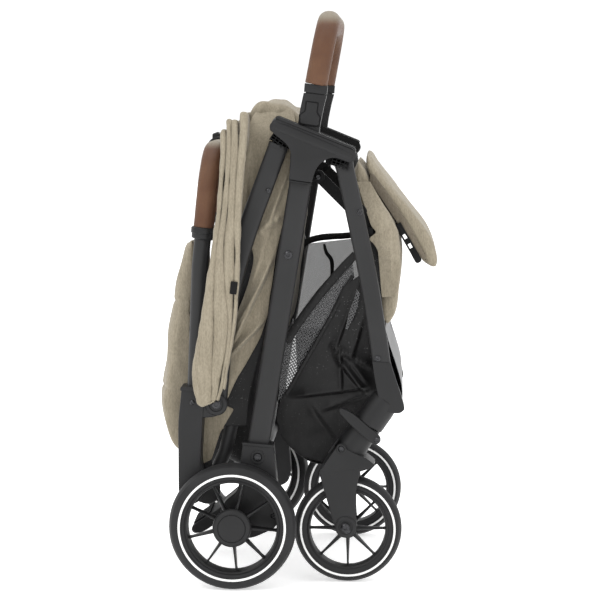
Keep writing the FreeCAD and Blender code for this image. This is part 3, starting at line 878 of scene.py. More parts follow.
@dataclass
class Hub:
    """The T-shaped hub cover with a split line along its top and ribbed cups at its ends."""

    finishes: Finishes
    outer_y: float = -198.0
    split: float = 3.4

    def cover(self) -> Mesh:
        """The cover's shell, its top strip, rounded beam and stem line as one moulding."""
        body = plate("hub_cover", [
            (-23, 644.6, 5), (84.4, 601.4, 2), (87, 593, 6), (80, 583.5, 6), (70, 587.5, 5),
            (56, 592.5, 8), (43, 588.5, 12), (31, 577, 12), (25.5, 557.5, 0.8), (-5.5, 562, 0.8),
            (-1.5, 596, 12), (-7, 609, 10), (-28, 625.5, 6), (-33, 635, 8)],
            self.outer_y + 1.2, -184.4, 4.6, 6)
        rear = plate("strip", [(-21.5, 648.2, 2.5), (84, 605.2, 2.5), (85.2, 601.6, 0.6),
                               (-24, 644.9, 1.5)],
                     self.outer_y - 0.6, -187.0, 1.4)
        spine = [(-29.5, 637.6), (-27.5, 636.7), (-10, 629.6), (50, 604.8), (80, 592.6), (83.5, 591.2)]
        thick = [(6.6, 21.0), (10.6, 25.4), (11.2, 26.6), (10.4, 26.6), (9.6, 25.4), (6.4, 21.0)]
        beam = bar("beam", [Vector((x, -172.0, z, deep, high)) for (x, z),
                            (high, deep) in zip(spine, thick)],
                   Y_WAY, 3.0, 48, 2.0)
        rib = plate("stem_line", [(-5.4, 561.0, 0.4), (25.4, 556.5, 0.4), (25.1, 554.6, 0.4),
                                  (-5.8, 559.2, 0.4)],
                    self.outer_y + 4.6, -186.0, 0.4)
        cheek = plate("cheek", [(-3.5, 600, 4), (34, 590, 6), (25, 556, 1), (-5.6, 560.4, 1)],
                      -187.6, -183.0, 0.8)
        return joined("hub_cover", [body, rear, beam, rib, cheek])

    def roof(self) -> Mesh:
        """Top wall between the two shells, open where the bumper bar stands."""
        tail = plate("roof", [(-20, 645.6, 2), (2, 636.6, 0.5), (0.2, 629.6, 0.5), (-24, 638, 3)],
                     -188.0, -146.4, 1.2)
        nose = plate("nose", [(60, 613.2, 0.5), (81, 604.6, 3), (80, 597.0, 3), (58, 605.6, 0.5)],
                     -188.0, -146.4, 1.2)
        return joined("hub_roof", [tail, nose])

    def cups(self) -> Mesh:
        """Crossed ribs in the mouth of each cup, before a back wall that may start a lead earlier."""
        ribs = []
        for start, end, lead in (((-25, 626), (-5, 612), 0.0), ((55, 593), (77, 586), 15.0)):
            a, b = Vector(start), Vector(end)
            along = (b - a).normalized()
            down = Vector((along.y, -along.x))
            walls = []
            for number in range(5):
                middle = a + (b - a) * number / 4
                walls.append(((middle - along * 0.7, middle + along * 0.7,
                               middle + along * 0.7 + down * 13, middle - along * 0.7 + down * 13),
                              -187.0, -160.0))
            for depth in (1.0, 5.0, 9.0):
                walls.append(((a + down * depth, b + down * depth, b + down * (depth + 1.4),
                               a + down * (depth + 1.4)), -186.6, -160.0))
            walls.append(((a - along * lead - down * 2, b - down * 2, b + down * 13,
                           a - along * lead * 0.5 + down * 13), -168.0, -162.0))
            ribs += [plate("rib", [(*c, 0) for c in wall], y0, y1, 0.3, 1) for wall, y0, y1 in walls]
        return joined("hub_ribs", ribs)

    def build(self, fitter: Fitter) -> None:
        """Fits both hubs."""
        moulding = self.finishes.moulding
        fitter.pair(self.cover(), moulding, "chassis", ["hub_cover_{side}"])
        fitter.pair(self.roof(), moulding, "chassis")
        fitter.pair(self.cups(), self.finishes.soft_black, "chassis")


@dataclass
class FrameTubes:
    """Flat-sided tubes of the frame: rear legs, push tubes and front legs."""

    finishes: Finishes
    flatness: float = 5.0

    def tube(self, name: str, knots: Sequence[Point], wide: float, deep: float) -> Mesh:
        """A flat-sided tube through side-plane points.

        Args:
            name: The piece's name.
            knots: (x, z) points from top to foot.
            wide: Its width in the side plane.
            deep: Its depth across the pushchair.

        Returns:
            The finished mesh.
        """
        rows = through([(x, -FRAME_Y, z, deep / 2, wide / 2) for x, z in knots], 5)
        return bar(name, rows, Y_WAY, power=self.flatness, around=40, bevel=0.8)

    def build(self, fitter: Fitter) -> None:
        """Fits the six tubes and the caps at their tops."""
        paint = self.finishes.frame_paint
        rear = self.tube("rear_leg", [(12.0, 572), (-19, 380), (-50.4, 184)], 30.4, 22.0)
        fitter.pair(rear, paint, "chassis", ["rear_leg_{side}"])
        push = self.tube("push_tube", [(-20.6, 607), (-38, 560), (-61, 498), (-79, 440), (-92, 380),
                                       (-100, 320), (-106, 254)], 27.4, 22.4)
        cap = self.tube("cap", [(-19.9, 608.6), (-21.0, 605.8), (-21.9, 603.4)], 28.2, 23.4)
        fitter.pair(joined("push_tube", [push, cap]), paint, "push_frame",
                    ["push_tube_{side}"])
        front = self.tube("front_leg", [(69.5, 579.5), (87, 500), (105.5, 410), (122.6, 300)], 24.8,
                          22.0)
        crown = self.tube("cap", [(68.9, 582.4), (69.4, 580.2), (70.0, 577.4)], 25.6, 23.0)
        fitter.pair(joined("front_leg", [front, crown]), paint, "front_frame",
                    ["front_leg_{side}"])


@dataclass
class RearFeet:
    """Moulded feet of the rear legs, with their recessed screw."""

    finishes: Finishes

    def build(self, fitter: Fitter) -> None:
        """Fits both feet."""
        sleeve = plate("axle_housing", [
            (-69.5, 198.5, 2), (-27.5, 195, 2), (-23, 150, 6), (-19, 96, 8), (-24, 80, 8),
            (-60, 63.5, 14), (-94, 68, 12), (-104, 86, 12), (-98, 114, 12), (-76, 132, 8),
            (-74, 164, 6)],
            -190.0, -158.0, 3.4, 5)
        washer = turned("washer", [(5.6, 1.2), (9.6, 1.2), (9.6, -0.6), (8.6, -1.7), (6.4, -1.7),
                                   (5.6, -0.6)],
                        (-49, 179), -190.4, 48)
        lip = plate("lip", [(-70.2, 199.4, 1), (-27.0, 195.8, 1), (-27.2, 191.8, 1), (-70.4, 195.2, 1)],
                    -191.0, -157.0, 0.9)
        foot = joined("axle_housing", [sleeve, washer, lip])
        right, _ = fitter.pair(foot, self.finishes.moulding, "chassis")
        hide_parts("axle_housings")


@dataclass
class Wheel:
    """A spoked wheel with a foam tyre and a pale ring."""

    name: str
    centre: Point
    y: float
    radius: float
    half_width: float
    ring: Point
    rim: float
    hub: float
    spokes: int
    first_spoke: float
    body: str
    cap: bool

    def tyre(self) -> Mesh:
        """Round-shouldered tyre with a step beside its ring."""
        r, h, bead = self.radius, self.half_width, self.rim
        inner, outer = self.ring
        half = [(bead + 0.6, h * 0.60), (bead + 1.0, h * 0.76), (bead + 2.8, h * 0.83),
                (inner - 2.6, h * 0.86), (inner - 1.6, h * 0.93), (inner - 0.3, h * 0.965),
                (inner, h * 0.945),
                (outer, h * 0.965), (outer + 0.3, h * 0.99), (outer + 2.5, h * 0.99),
                (r - 7.5, h * 0.93),
                (r - 4.2, h * 0.80), (r - 1.9, h * 0.58), (r - 0.5, h * 0.3), (r, 0.0)]
        profile = [(a, -b) for a, b in half] + [(a, b) for a, b in reversed(half[:-1])]
        return turned(self.name + "_tyre", profile, self.centre, self.y, 120, 24)

    def stripe(self) -> Mesh:
        """Pale ring on each side of the tyre."""
        h = self.half_width
        inner, outer = self.ring
        rings = []
        for sign in (-1, 1):
            profile = [(inner + 0.1, h * 0.93), (outer - 0.1, h * 0.95),
                       (outer - 0.1, h * 0.965 + 0.25),
                       (outer - 0.6, h * 0.965 + 0.5), (inner + 0.6, h * 0.95 + 0.5),
                       (inner + 0.1, h * 0.95 + 0.25)]
            rings.append(turned("ring", [(a, sign * b) for a, b in profile], self.centre, self.y, 120))
        return joined(self.name + "_ring", rings)

    def spoke(self, angle: float) -> Mesh:
        """One tapered blade at an angle in degrees from forward."""
        turn = math.radians(angle)
        way = Vector((math.cos(turn), 0, math.sin(turn)))
        base = Vector((self.centre[0], self.y, self.centre[1]))
        deep = self.half_width
        shares = [(0.0, 3.3, 0.62), (0.12, 2.9, 0.60), (0.5, 2.0, 0.5), (0.86, 1.45, 0.44),
                  (1.0, 2.2, 0.5)]
        rows = []
        for share, half, depth in shares:
            radius = self.hub * 0.7 + (self.rim - 0.6 - self.hub * 0.7) * share
            rows.append(Vector((*(base + way * radius), deep * depth, half)))
        return bar("spoke", rows, Y_WAY, power=2.6, around=12, bevel=0)

    def rim_band(self) -> Mesh:
        """Rim channel, hub barrel and blades."""
        h, bead = self.half_width, self.rim
        half = [(bead - 3.6, 0.0), (bead - 3.4, h * 0.42), (bead - 2.6, h * 0.62),
                (bead - 2.2, h * 0.80),
                (bead - 0.8, h * 0.86), (bead + 0.9, h * 0.80), (bead + 1.2, h * 0.6)]
        profile = [(a, b) for a, b in reversed(half)] + [(a, -b) for a, b in half[1:]]
        band = turned("band", profile, self.centre, self.y, 120, 28)
        reach = h - (4 if self.cap else 3)
        barrel = turned("barrel", [(5.2, -reach), (self.hub - 2, -reach), (self.hub, -reach + 2.2),
                                   (self.hub, reach - 2.2), (self.hub - 2, reach), (5.2, reach)],
                        self.centre, self.y, 64)
        step = 360.0 / self.spokes
        blades = [self.spoke(self.first_spoke + step * number) for number in range(self.spokes)]
        return joined(self.name + "_rim", [band, barrel, *blades])

    def hub_cap(self) -> Mesh:
        """Domed cap with a turned groove."""
        out = -self.half_width
        profile = [(0, out + 5.6), (20.5, out + 5.6), (25.9, out + 5.6), (26.6, out + 4.4),
                   (26.2, out + 1.6),
                   (24.6, out - 0.4), (21.4, out - 1.9), (19.6, out - 2.4), (19.2, out - 1.5),
                   (18.6, out - 1.5),
                   (18.2, out - 2.6), (12, out - 3.2), (5, out - 3.5), (0, out - 3.6)]
        return turned(self.name + "_cap", profile, self.centre, self.y, 96, 26)

    def build(self, fitter: Fitter) -> None:
        """Fits the wheel on both sides."""
        done, stem = fitter.finishes, self.name.split("_")[0]
        fitter.pair(self.tyre(), done.foam, self.body, [stem + "_tyre_{side}"])
        fitter.pair(self.stripe(), done.ring, self.body)
        fitter.pair(self.rim_band(), done.moulding, self.body, [stem + "_rim_{side}"])
        if self.cap:
            fitter.pair(self.hub_cap(), done.moulding, self.body, [stem + "_cap_{side}"])


@dataclass
class FrontEnd:
    """Leg ends, footrest, forks and swivel-lock levers."""

    finishes: Finishes
    lower: Point = (103.5, 222.5)
    tilt: float = 34.7
    wheel_y: float = -158.0

    def along(self, distance: float, across: float = 0.0) -> Point:
        """(x, z) at a distance up the swivel axis, and forward of it."""
        turn = math.radians(self.tilt)
        return (self.lower[0] + distance * math.sin(turn) + across * math.cos(turn),
                self.lower[1] + distance * math.cos(turn) - across * math.sin(turn))

    def head(self, name: str, y: float, stations: Sequence[Point]) -> Mesh:
        """A round body on the swivel axis through (distance, radius) stations."""
        rows = []
        for distance, radius in stations:
            x, z = self.along(distance)
            rows.append(Vector((x, y, z, radius, radius)))
        return bar(name, rows, Y_WAY, power=2.0, around=40, bevel=0.7)

    def leg_end(self) -> Mesh:
        """Socket on the front leg that overlaps the tilted head."""
        shell = plate("shell", [
            (108.4, 312.2, 0.6), (133.6, 309.6, 0.6), (141.6, 284, 12), (149.4, 262, 10),
            (153.6, 245, 4), (146, 240, 3),
            (127, 241, 8), (117, 262, 12), (111.6, 290, 14)], -184.4, -159.8, 3.2, 5)
        head = self.head("head", -166.0, [(0.4, 20.2), (1.4, 21.0), (26, 21.0), (41, 20.0), (50, 12.0)])
        lip = self.head("lip", -166.0, [(0.0, 19.2), (0.9, 19.4), (1.2, 19.2)])
        return joined("leg_end", [shell, head, lip])

    def fork(self) -> Mesh:
        """Crown with a flared skirt, and a blade each side of the wheel."""
        y = self.wheel_y
        head = self.head("head", y, [(-1.0, 19.4), (-1.8, 20.2), (-12, 20.4), (-13, 19.4), (-14, 20.2),
                                     (-30, 20.6), (-44, 22.0), (-52, 23.0)])
        skirt = plate("skirt", [
            (62, 196, 6), (84, 184, 6), (102, 176.4, 4), (112.6, 167.6, 1.5), (108, 163.6, 3),
            (94, 158.6, 10), (64, 152.4, 14), (48, 157, 6), (35, 154.6, 2), (40, 164, 6)],
            y - 24.6, y + 24.6, 5.0, 5)
        blade = [(35.2, 157, 3), (60, 160, 4), (93, 164, 3), (86.4, 130, 12), (86.2, 100, 14),
                 (88.4, 80, 9),
                 (83, 66.5, 9), (72, 64.6, 9), (61.4, 68, 9), (57.4, 80, 9), (48, 112, 10)]
        blades = [plate("blade", blade, y + near, y + far, 2.6, 4)
                  for near, far in ((-24.8, -17.0), (17.0, 24.8))]
        boss = turned("boss", [(0, 1), (14.6, 1), (14.6, -1.4), (13, -2.6), (9.8, -3.0), (9.2, -2.0),
                               (0, -2.0)],
                      (72.4, 80.6), y - 24.8, 56)
        screw = turned("screw_boss", [(0, 2), (7.2, 2), (7.2, -1.2), (6.2, -2.2), (4.6, -2.4),
                                      (4.2, -1.4), (0, -1.4)],
                       (66, 190), y - 23.2, 40)
        tab = plate("tab", [(60.5, 201, 0.8), (63, 203, 0.8), (50, 184, 0.8), (47.6, 182.4, 0.8)],
                    y - 19.0, y - 8.0, 0.6)
        return joined("fork", [head, skirt, *blades, boss, screw, tab])

    def lever(self) -> Mesh:
        """Leaf-shaped lever with a round end."""
        corners = [(*self.along(-1.4, -47), 5), (*self.along(2.6, -30), 16), (*self.along(0.4, -8), 16),
                   (*self.along(-1.4, 16), 6), (*self.along(-6, 27), 8), (*self.along(-17, 24), 8),
                   (*self.along(-16.6, 8), 14), (*self.along(-13.4, -20), 16),
                   (*self.along(-7.4, -45), 5)]
        return plate("swivel_lever", corners, -186.0, -173.6, 2.8, 5)

    def footrest(self) -> Mesh:
        """Curved glossy bar between the leg ends."""
        profile = through([(124.5, 354, 2.2), (128.6, 334, 3.0), (138, 304, 3.6), (145.4, 276, 3.6),
                           (147.4, 246, 3.0)], 6)
        count = len(profile) - 1

        def place(u: float, v: float) -> Vector:
            """Point round the flat section at share v of the width."""
            y = -160.0 + 320.0 * v
            turn = u * 2 * count
            step, back = (turn, False) if turn <= count else (2 * count - turn, True)
            x, z, half = profile[min(round(step), count)]
            bulge = math.cos(math.pi * (v - 0.5)) ** 2
            return Vector((x + (-half if back else half) + bulge, y, z - (0.6 if back else 0)))

        piece = mapped("footrest_bar", 2 * count, 24, place, closed=True)
        bevelled(piece, 0.8, 3, 50)
        return smooth(piece)

    def build(self, fitter: Fitter) -> None:
        """Fits both sides and the footrest."""
        moulding = self.finishes.moulding
        right, _ = fitter.pair(self.leg_end(), moulding, "front_frame")
        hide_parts("leg_ends")
        fitter.pair(self.fork(), moulding, "swivel_{side}", ["fork_{side}"])
        fitter.pair(self.lever(), moulding, "swivel_lever_{side}", ["swivel_lever_{side}"])
        fitter.fit(self.footrest(), self.finishes.footrest, "front_frame",
                   ["footrest"])


def arch(foot: Point, top: Point, y: float, corner: float, size: float,
         straight: int = 14) -> list[Vector]:
    """Rows of a U-shaped bar with round corners, as bar() takes them.

    Args:
        foot: (x, z) where the right leg starts.
        top: (x, z) of the cross piece.
        y: Distance of the legs from the middle plane.
        corner: Bend radius.
        size: The bar's radius.
        straight: Rows on each straight run.

    Returns:
        The rows, from the right foot to the left one.
    """
    start, end = Vector((foot[0], -y, foot[1])), Vector((top[0], -y, top[1]))
    way = (end - start).normalized()
    bend = end - way * corner
    right = [start + (bend - start) * n / straight for n in range(straight + 1)]
    centre = bend + Y_WAY * corner
    for number in range(1, 13):
        turn = math.pi / 2 * number / 12
        right.append(centre - Y_WAY * corner * math.cos(turn) + way * corner * math.sin(turn))
    middle = [Vector((top[0], -y + corner + (2 * y - 2 * corner) * n / 16, top[1])) for n in range(1,
                                                                                                   16)]
    left = [Vector((p.x, -p.y, p.z)) for p in reversed(right)]
    return [Vector((*p, size, size)) for p in right + middle + left]


@dataclass
class Handle:
    """Grip, collars, fold button, knuckles and handle tube."""

    finishes: Finishes

    def grip(self) -> Mesh:
        """Leather-look wrap from collar to collar over the bend."""
        rows = arch((-123.6, 494), (-113, 598), FRAME_Y, 62, 14.2)
        return bar("handle_wrap", rows, X_WAY, power=2.2, around=40, bevel=1.4, ripple=0.12, pitch=9)

    def collar(self) -> Mesh:
        """Stepped collar under the grip."""
        rows = [(-125.4, -FRAME_Y, 478.6, 13.2, 13.2), (-125.2, -FRAME_Y, 480.0, 15.4, 15.4),
                (-124.6, -FRAME_Y, 486.4, 15.8, 15.8), (-124.5, -FRAME_Y, 487.2, 16.8, 16.8),
                (-123.9, -FRAME_Y, 494.2, 17.0, 17.0), (-123.8, -FRAME_Y, 495.2, 15.4, 15.4)]
        return bar("handle_collar", [Vector(r) for r in rows], Y_WAY, 2.1, 40, 0.5)

    def button_sleeve(self) -> Mesh:
        """Ribbed sleeve at the middle of the cross piece."""
        profile = [(11.7, -38), (15.4, -38), (16.4, -36.6)]
        for start in range(-35, 35, 5):
            profile += [(17.8, start), (18.2, start + 1.2), (18.2, start + 3.0), (17.8, start + 4.0),
                        (17.0, start + 4.4)]
        profile += [(16.4, 36.6), (15.4, 38), (11.7, 38)]
        return turned("button_sleeve", profile, (-113, 598), 0.0, 72, 32)

    def button(self) -> Mesh:
        """Push button with a finger ridge."""
        key = plate("fold_key", [(-124, 613, 1), (-124, 619.6, 2), (-118, 621.6, 4), (-112, 619.6, 2),
                                 (-112, 613, 1)],
                    -20.0, 20.0, 1.2)
        ridges = [plate("ridge", [(-122, 619.6, 0.4), (-118, 622.4, 2), (-114, 619.6, 0.4)], y, y + 2.0,
                        0.5, 2)
                  for y in (-10.0, -4.0, 2.0, 8.0)]
        return joined("fold_key", [key, *ridges])

    def knuckle(self) -> Mesh:
        """Sleeve round the handle's leg, with the cheeks that hold the push tube."""
        body = plate("body", [
            (-153.6, 275, 3), (-120.6, 275, 3), (-121, 262, 4), (-124.4, 236, 8), (-128, 172, 10),
            (-122, 128, 6), (-133, 112.6, 9), (-150, 112.6, 9), (-158.6, 128, 8), (-158.6, 226, 14)],
            -192.0, -152.0, 4.4, 5)
        lobe = turned("lobe", [(0, 3), (15.6, 3), (15.6, -2.0), (14.2, -3.6), (10, -4.2), (9.2, -2.8),
                               (0, -2.8)],
                      (-106, 252), -188.6, 64)
        cheek = [(-146, 268, 4), (-112, 269, 8), (-94, 262, 8), (-92, 243, 8), (-106, 234.6, 8),
                 (-134, 232, 8)]
        arm = plate("arm", cheek, -190.4, -184.4, 2.0, 4)
        inner = plate("inner", cheek, -157.6, -152.4, 1.4, 3)
        tail = plate("tail", [(-136, 162, 6), (-118, 150, 8), (-103, 137, 8), (-104, 114, 8),
                              (-120, 105, 8),
                              (-140, 112, 8)], -158.4, -152.2, 1.6, 3)
        lip = plate("lip", [(-155, 276, 1.5), (-119.6, 276, 1.5), (-120, 271, 1), (-155.4, 271, 1)],
                    -193.2, -151.2, 1.0)
        return joined("handle_knuckle", [body, arm, lobe, inner, tail, lip])

    def build(self, fitter: Fitter) -> None:
        """Fits the handle."""
        done = self.finishes
        fitter.fit(self.grip(), done.handle_leather, "handle", ["handle_grip"])
        right, _ = fitter.pair(self.collar(), done.moulding, "handle")
        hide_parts("handle_collars")
        fitter.fit(self.button_sleeve(), done.soft_black, "handle", ["fold_button_housing"])
        fitter.fit(self.button(), done.moulding, "fold_button", ["fold_button"])
        fitter.pair(self.knuckle(), done.moulding, "handle", ["handle_knuckle_{side}"])


@dataclass
class Bumper:
    """Bumper bar: leather-look wrap, moulded arms and release buttons."""

    finishes: Finishes

    def arm(self) -> Mesh:
        """Arm with a separate sleeve above its split line."""
        body = plate("body", [(14.4, 679, 0.8), (45.6, 675.2, 0.8), (41.6, 660, 4), (36.8, 636, 6),
                              (34, 612, 10), (10, 612, 10), (6.6, 637, 4), (9.4, 656, 6)], -189.0,
                     -167.0, 2.6, 4)
        sleeve = plate("sleeve", [(15.8, 692, 0.8), (46.8, 688, 0.8), (45.8, 676.4, 0.8),
                                  (14.8, 680.2, 0.8)],
                       -189.4, -166.4, 2.6, 4)
        core = plate("core", [(18, 686, 1), (44, 683, 1), (42, 670, 1), (16, 672, 1)], -186.6, -169.0,
                     0.8)
        return joined("bumper_arm", [body, sleeve, core])

    def recess(self) -> Mesh:
        """Dark plate of painted shade that stands for the gap round the release button."""
        return plate("button_recess", [
            (17.0, 668.4, 1.4), (35.0, 666.2, 1.4), (33.6, 652.6, 1.6), (38.2, 645.8, 1.4),
            (36.4, 631.8, 3),
            (7.8, 635.2, 3), (7.8, 649.4, 1.4), (15.4, 654.6, 1.6)], -189.5, -187.8, 0.3)

    def button(self) -> Mesh:
        """T-shaped release button."""
        return plate("release_button", [
            (18.8, 666.6, 1), (33.2, 664.6, 1), (31.8, 652, 2), (36, 645.6, 1.4), (34.4, 634.0, 3),
            (9.6, 637.4, 3), (9.8, 648.6, 1.4), (17.2, 654, 2)], -191.0, -186.6, 1.2, 3)

    def build(self, fitter: Fitter) -> None:
        """Fits the bumper bar."""
        done = self.finishes
        rows = arch((31, 690), (47, 776), 178.0, 58, 15.4)
        wrap = bar("bumper_wrap", rows, X_WAY, power=2.2, around=40, bevel=1.6, ripple=0.12, pitch=9)
        fitter.fit(wrap, done.bumper_leather, "bumper_bar", ["bumper_grip"])
        right, _ = fitter.pair(self.arm(), done.moulding, "bumper_bar")
        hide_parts("bumper_arms")
        # Painted shade in the gap round each release button.
        fitter.pair(self.recess(), done.soft_black, "bumper_bar")
        fitter.pair(self.button(), done.moulding, "bumper_button_{side}",
                    ["bumper_button_{side}"])


@dataclass
class Brake:
    """Foot bar of the parking brake."""

    finishes: Finishes

    def build(self, fitter: Fitter) -> None:
        """Fits the pedal."""
        tread = plate("tread", [(-92, 96, 3), (-76, 99, 6), (-70, 88, 6), (-78, 77, 4), (-104, 66, 14),
                                (-138, 42, 8), (-152, 40, 5), (-156, 48, 5), (-149, 55, 5),
                                (-112, 79, 14)],
                      -42.0, 42.0, 2.4, 4)
        ribs = [plate("rib", [(-151, 53, 1), (-126, 71, 2), (-127.6, 73, 1), (-152.4, 55.6, 1)], y,
                      y + 3.0, 0.7, 2)
                for y in (-34.0, -24.0, -14.0, -4.0, 6.0, 16.0, 26.0)]
        fitter.fit(joined("brake_bar", [tread, *ribs]), self.finishes.soft_black,
                   "brake_pedal",
                   ["brake_pedal"])


# ---------------------------------------------------------------- soft pieces
def tuck(x: float, z: float, start: Point, end: Point, height: float, reach: float) -> float:
    """Height of a fold that drops away steeply left of the line from start to end.

    Args:
        x: Place along X.
        z: Height.
        start: (x, z) where the fold begins.
        end: (x, z) where it runs out.
        height: How far the fold stands out.
        reach: How far it takes to fall away on the line's right side.

    Returns:
        The height at the place.
    """
    steep = 2.4
    way = Vector(end) - Vector(start)
    here = Vector((x, z)) - Vector(start)
    share = here.dot(way) / way.length_squared
    aside = (way.x * here.y - way.y * here.x) / way.length
    if share < -0.1 or share > 1.1:
        return 0.0
    fade = min(1.0, (share + 0.1) / 0.25, (1.1 - share) / 0.25)
    return height * fade * (math.exp(-(aside / steep) ** 2) if aside > 0 else math.exp(aside / reach))


def spanned(edges: Sequence[Vector], u: float, v: float) -> Point:
    """(x, z) at share u between two edges and v down rows of (height, rear edge, front edge)."""
    z, rear, front = edges[round(v * (len(edges) - 1))]
    return rear + (front - rear) * u, z


@dataclass
class Canopy:
    """Folded canopy: rolls of cloth that run up each side and across the back."""

    finishes: Finishes
    side_y: float = 199.4
    levels: tuple[Knot, ...] = (
        # height, rear edge, front edge of the folded bundle
        (250, -128, -106), (262, -132, -99), (278, -135, -94), (300, -135.5, -90), (330, -130.5, -84),
        (370, -123.5, -78), (411, -118.5, -75.5), (450, -112.5, -74), (483, -107.5, -72.5),
        (515, -102, -70.5),
        (560, -98.8, -67.5), (600, -97.6, -64.5), (632, -97, -62.5))

    creases: tuple[tuple[Point, ...], ...] = (
        # (height, share of the bundle's width) down each line between two rolls
        ((640, -0.03), (250, -0.03)),
        ((640, 0.26), (534, 0.14), (455, 0.17), (393, 0.27), (345, 0.42), (298, 0.56), (250, 0.66)),
        ((640, 0.46), (534, 0.4), (471, 0.42), (408, 0.63), (375, 0.76), (330, 0.84), (250, 0.86)),
        ((640, 0.73), (534, 0.7), (456, 0.86), (393, 0.9), (330, 0.93), (250, 0.94)),
        ((640, 1.03), (250, 1.03)))

    def crease(self, number: int, height: float) -> float:
        """Share of the bundle's width at which a crease stands at a height."""
        line = self.creases[number]
        for (high, first), (low, second) in zip(line, line[1:]):
            if height >= low:
                part = min(1.0, max(0.0, (high - height) / (high - low)))
                return first + (second - first) * part
        return line[-1][1]

    def roll(self, name: str, number: int, foot: float, top: float, drop: float) -> Mesh:
        """One flattened roll of cloth from foot to foot over the top.

        Args:
            name: The piece's name.
            number: Which roll, counted from the rear.
            foot: Height at which its lower end starts to round off.
            top: Height of its top.
            drop: How far the layer across the back hangs.

        Returns:
            The finished mesh.
        """
        side = []
        for height, rear, front in self.levels:
            if height < foot or height > top - 16:
                continue
            start, end = self.crease(number, height), self.crease(number + 1, height)
            sway = 0.7 * math.sin(height / 31.0 + number * 2.1)
            x = rear + (front - rear) * (start + end) / 2 + sway
            half = max(2.6, (front - rear) * (end - start) / 2 * 1.07)
            side.append((x, -self.side_y - 0.5 * math.sin(height / 57.0 + number * 1.6), height, half,
                         5.8))
        x, y, z, half, _ = side[0]
        side = [(x + 1.2, y, z - half * 0.92, half * 0.3, 2.2),
                (x + 0.8, y, z - half * 0.8, half * 0.62, 3.8),
                (x + 0.3, y, z - half * 0.5, half * 0.88, 5.2)] + side
        x, y, z, half, _ = side[-1]
        crest = [(x, y + 2.5, top - 8, half, 6.4), (x, y + 12, top - 5.5, half, 6.2),
                 (x - 0.5, -168, top - drop * 0.25 - 5, half * 0.9, drop * 0.25 + 4),
                 (x - 1.0, -128, top - drop * 0.45 - 4, half * 0.82, drop * 0.45 + 3),
                 (x - 1.5, -60, top - drop * 0.5 - 5, half * 0.8, drop * 0.5 + 3),
                 (x - 1.5, 0, top - drop * 0.5 - 7, half * 0.8, drop * 0.5 + 3)]
        right = side + crest
        left = [(px, -py, *rest) for px, py, *rest in reversed(right[:-1])]
        return bar(name, through(right + left, 7), X_WAY, power=2.5, around=32, bevel=0, ripple=1.3,
                   pitch=22.0)

    def piping(self) -> Mesh:
        """Stitched cord inside the rounded lower edge of the outer roll."""
        knots = [(-117.5, 400), (-124.5, 350), (-131.6, 303), (-129.6, 277), (-121, 259),
                 (-111.5, 256.5),
                 (-104.4, 268), (-102.6, 290)]
        return bar("canopy_piping", through([(x, -204.0, z, 1.1, 1.1) for x, z in knots], 8), Y_WAY, 2,
                   10, 0)

    def gusset(self) -> Mesh:
        """Pleated cloth between the fixed and the opening half, folded flat inside the bundle."""
        def place(u: float, v: float) -> Vector:
            """Point at share u from the fixed to the opening half, v from right foot to left foot."""
            path = 2 * abs(v - 0.5)
            top_share, foot, top = 0.28, 300, 628
            climb = min((1 - path) / (1 - top_share), 1.0)
            height = foot + (top - foot) * climb
            reach = -self.side_y + 8 + max(0.0, top_share - path) / top_share * (self.side_y - 8)
            y = reach if v < 0.5 else -reach
            rear = -92 - 26 * (1 - climb) ** 1.2
            pleat = 1.3 * math.sin(u * 10 * math.pi)
            side = math.copysign(pleat, y) * min(1.0, abs(y) / 150)
            return Vector((rear + 14 * u, y + side, height + pleat - 14 * abs(u - 0.5) ** 2))

        return cloth_sheet("canopy_gusset", 28, 60, place, thickness=0.9, levels=0)

    def label(self) -> Mesh:
        """Blank woven tag on the canopy's edge."""
        def place(u: float, v: float) -> Vector:
            """Point on the slightly curled tag."""
            return Vector((-86.0 + 9.6 * v + 2.2 * u, -206.2 - math.sin(math.pi * v),
                           406.5 + 17.5 * u - 1.2 * v))

        return cloth_sheet("canopy_tag", 8, 6, place, thickness=0.9)

    def build(self, fitter: Fitter) -> None:
        """Fits the canopy's two halves and dresses the cloth between them."""
        done = self.finishes
        rear = joined("canopy_rear_folds", [self.roll("fold", 0, 262, 629, 66),
                                            self.roll("fold", 1, 262, 642, 74)])
        fitter.fit(rear, done.sand, "handle", ["canopy_rear"])
        front = joined("canopy_front_folds", [self.roll("fold", 2, 262, 641, 72),
                                              self.roll("fold", 3, 278, 653, 70)])
        fitter.fit(front, done.sand, "canopy_front", ["canopy_front"])
        gusset = self.gusset()
        # Painted shade: the gusset wears the darker copy of the sand, as it lies in shadow inside the
        # bundle.
        fitter.dress(gusset, done.shaded_sand)
        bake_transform(gusset)
        declare_sheet(60, 1000)
        fitter.fit(self.label(), done.soft_black, "canopy_front")
        fitter.pair(self.piping(), done.sand, "handle")


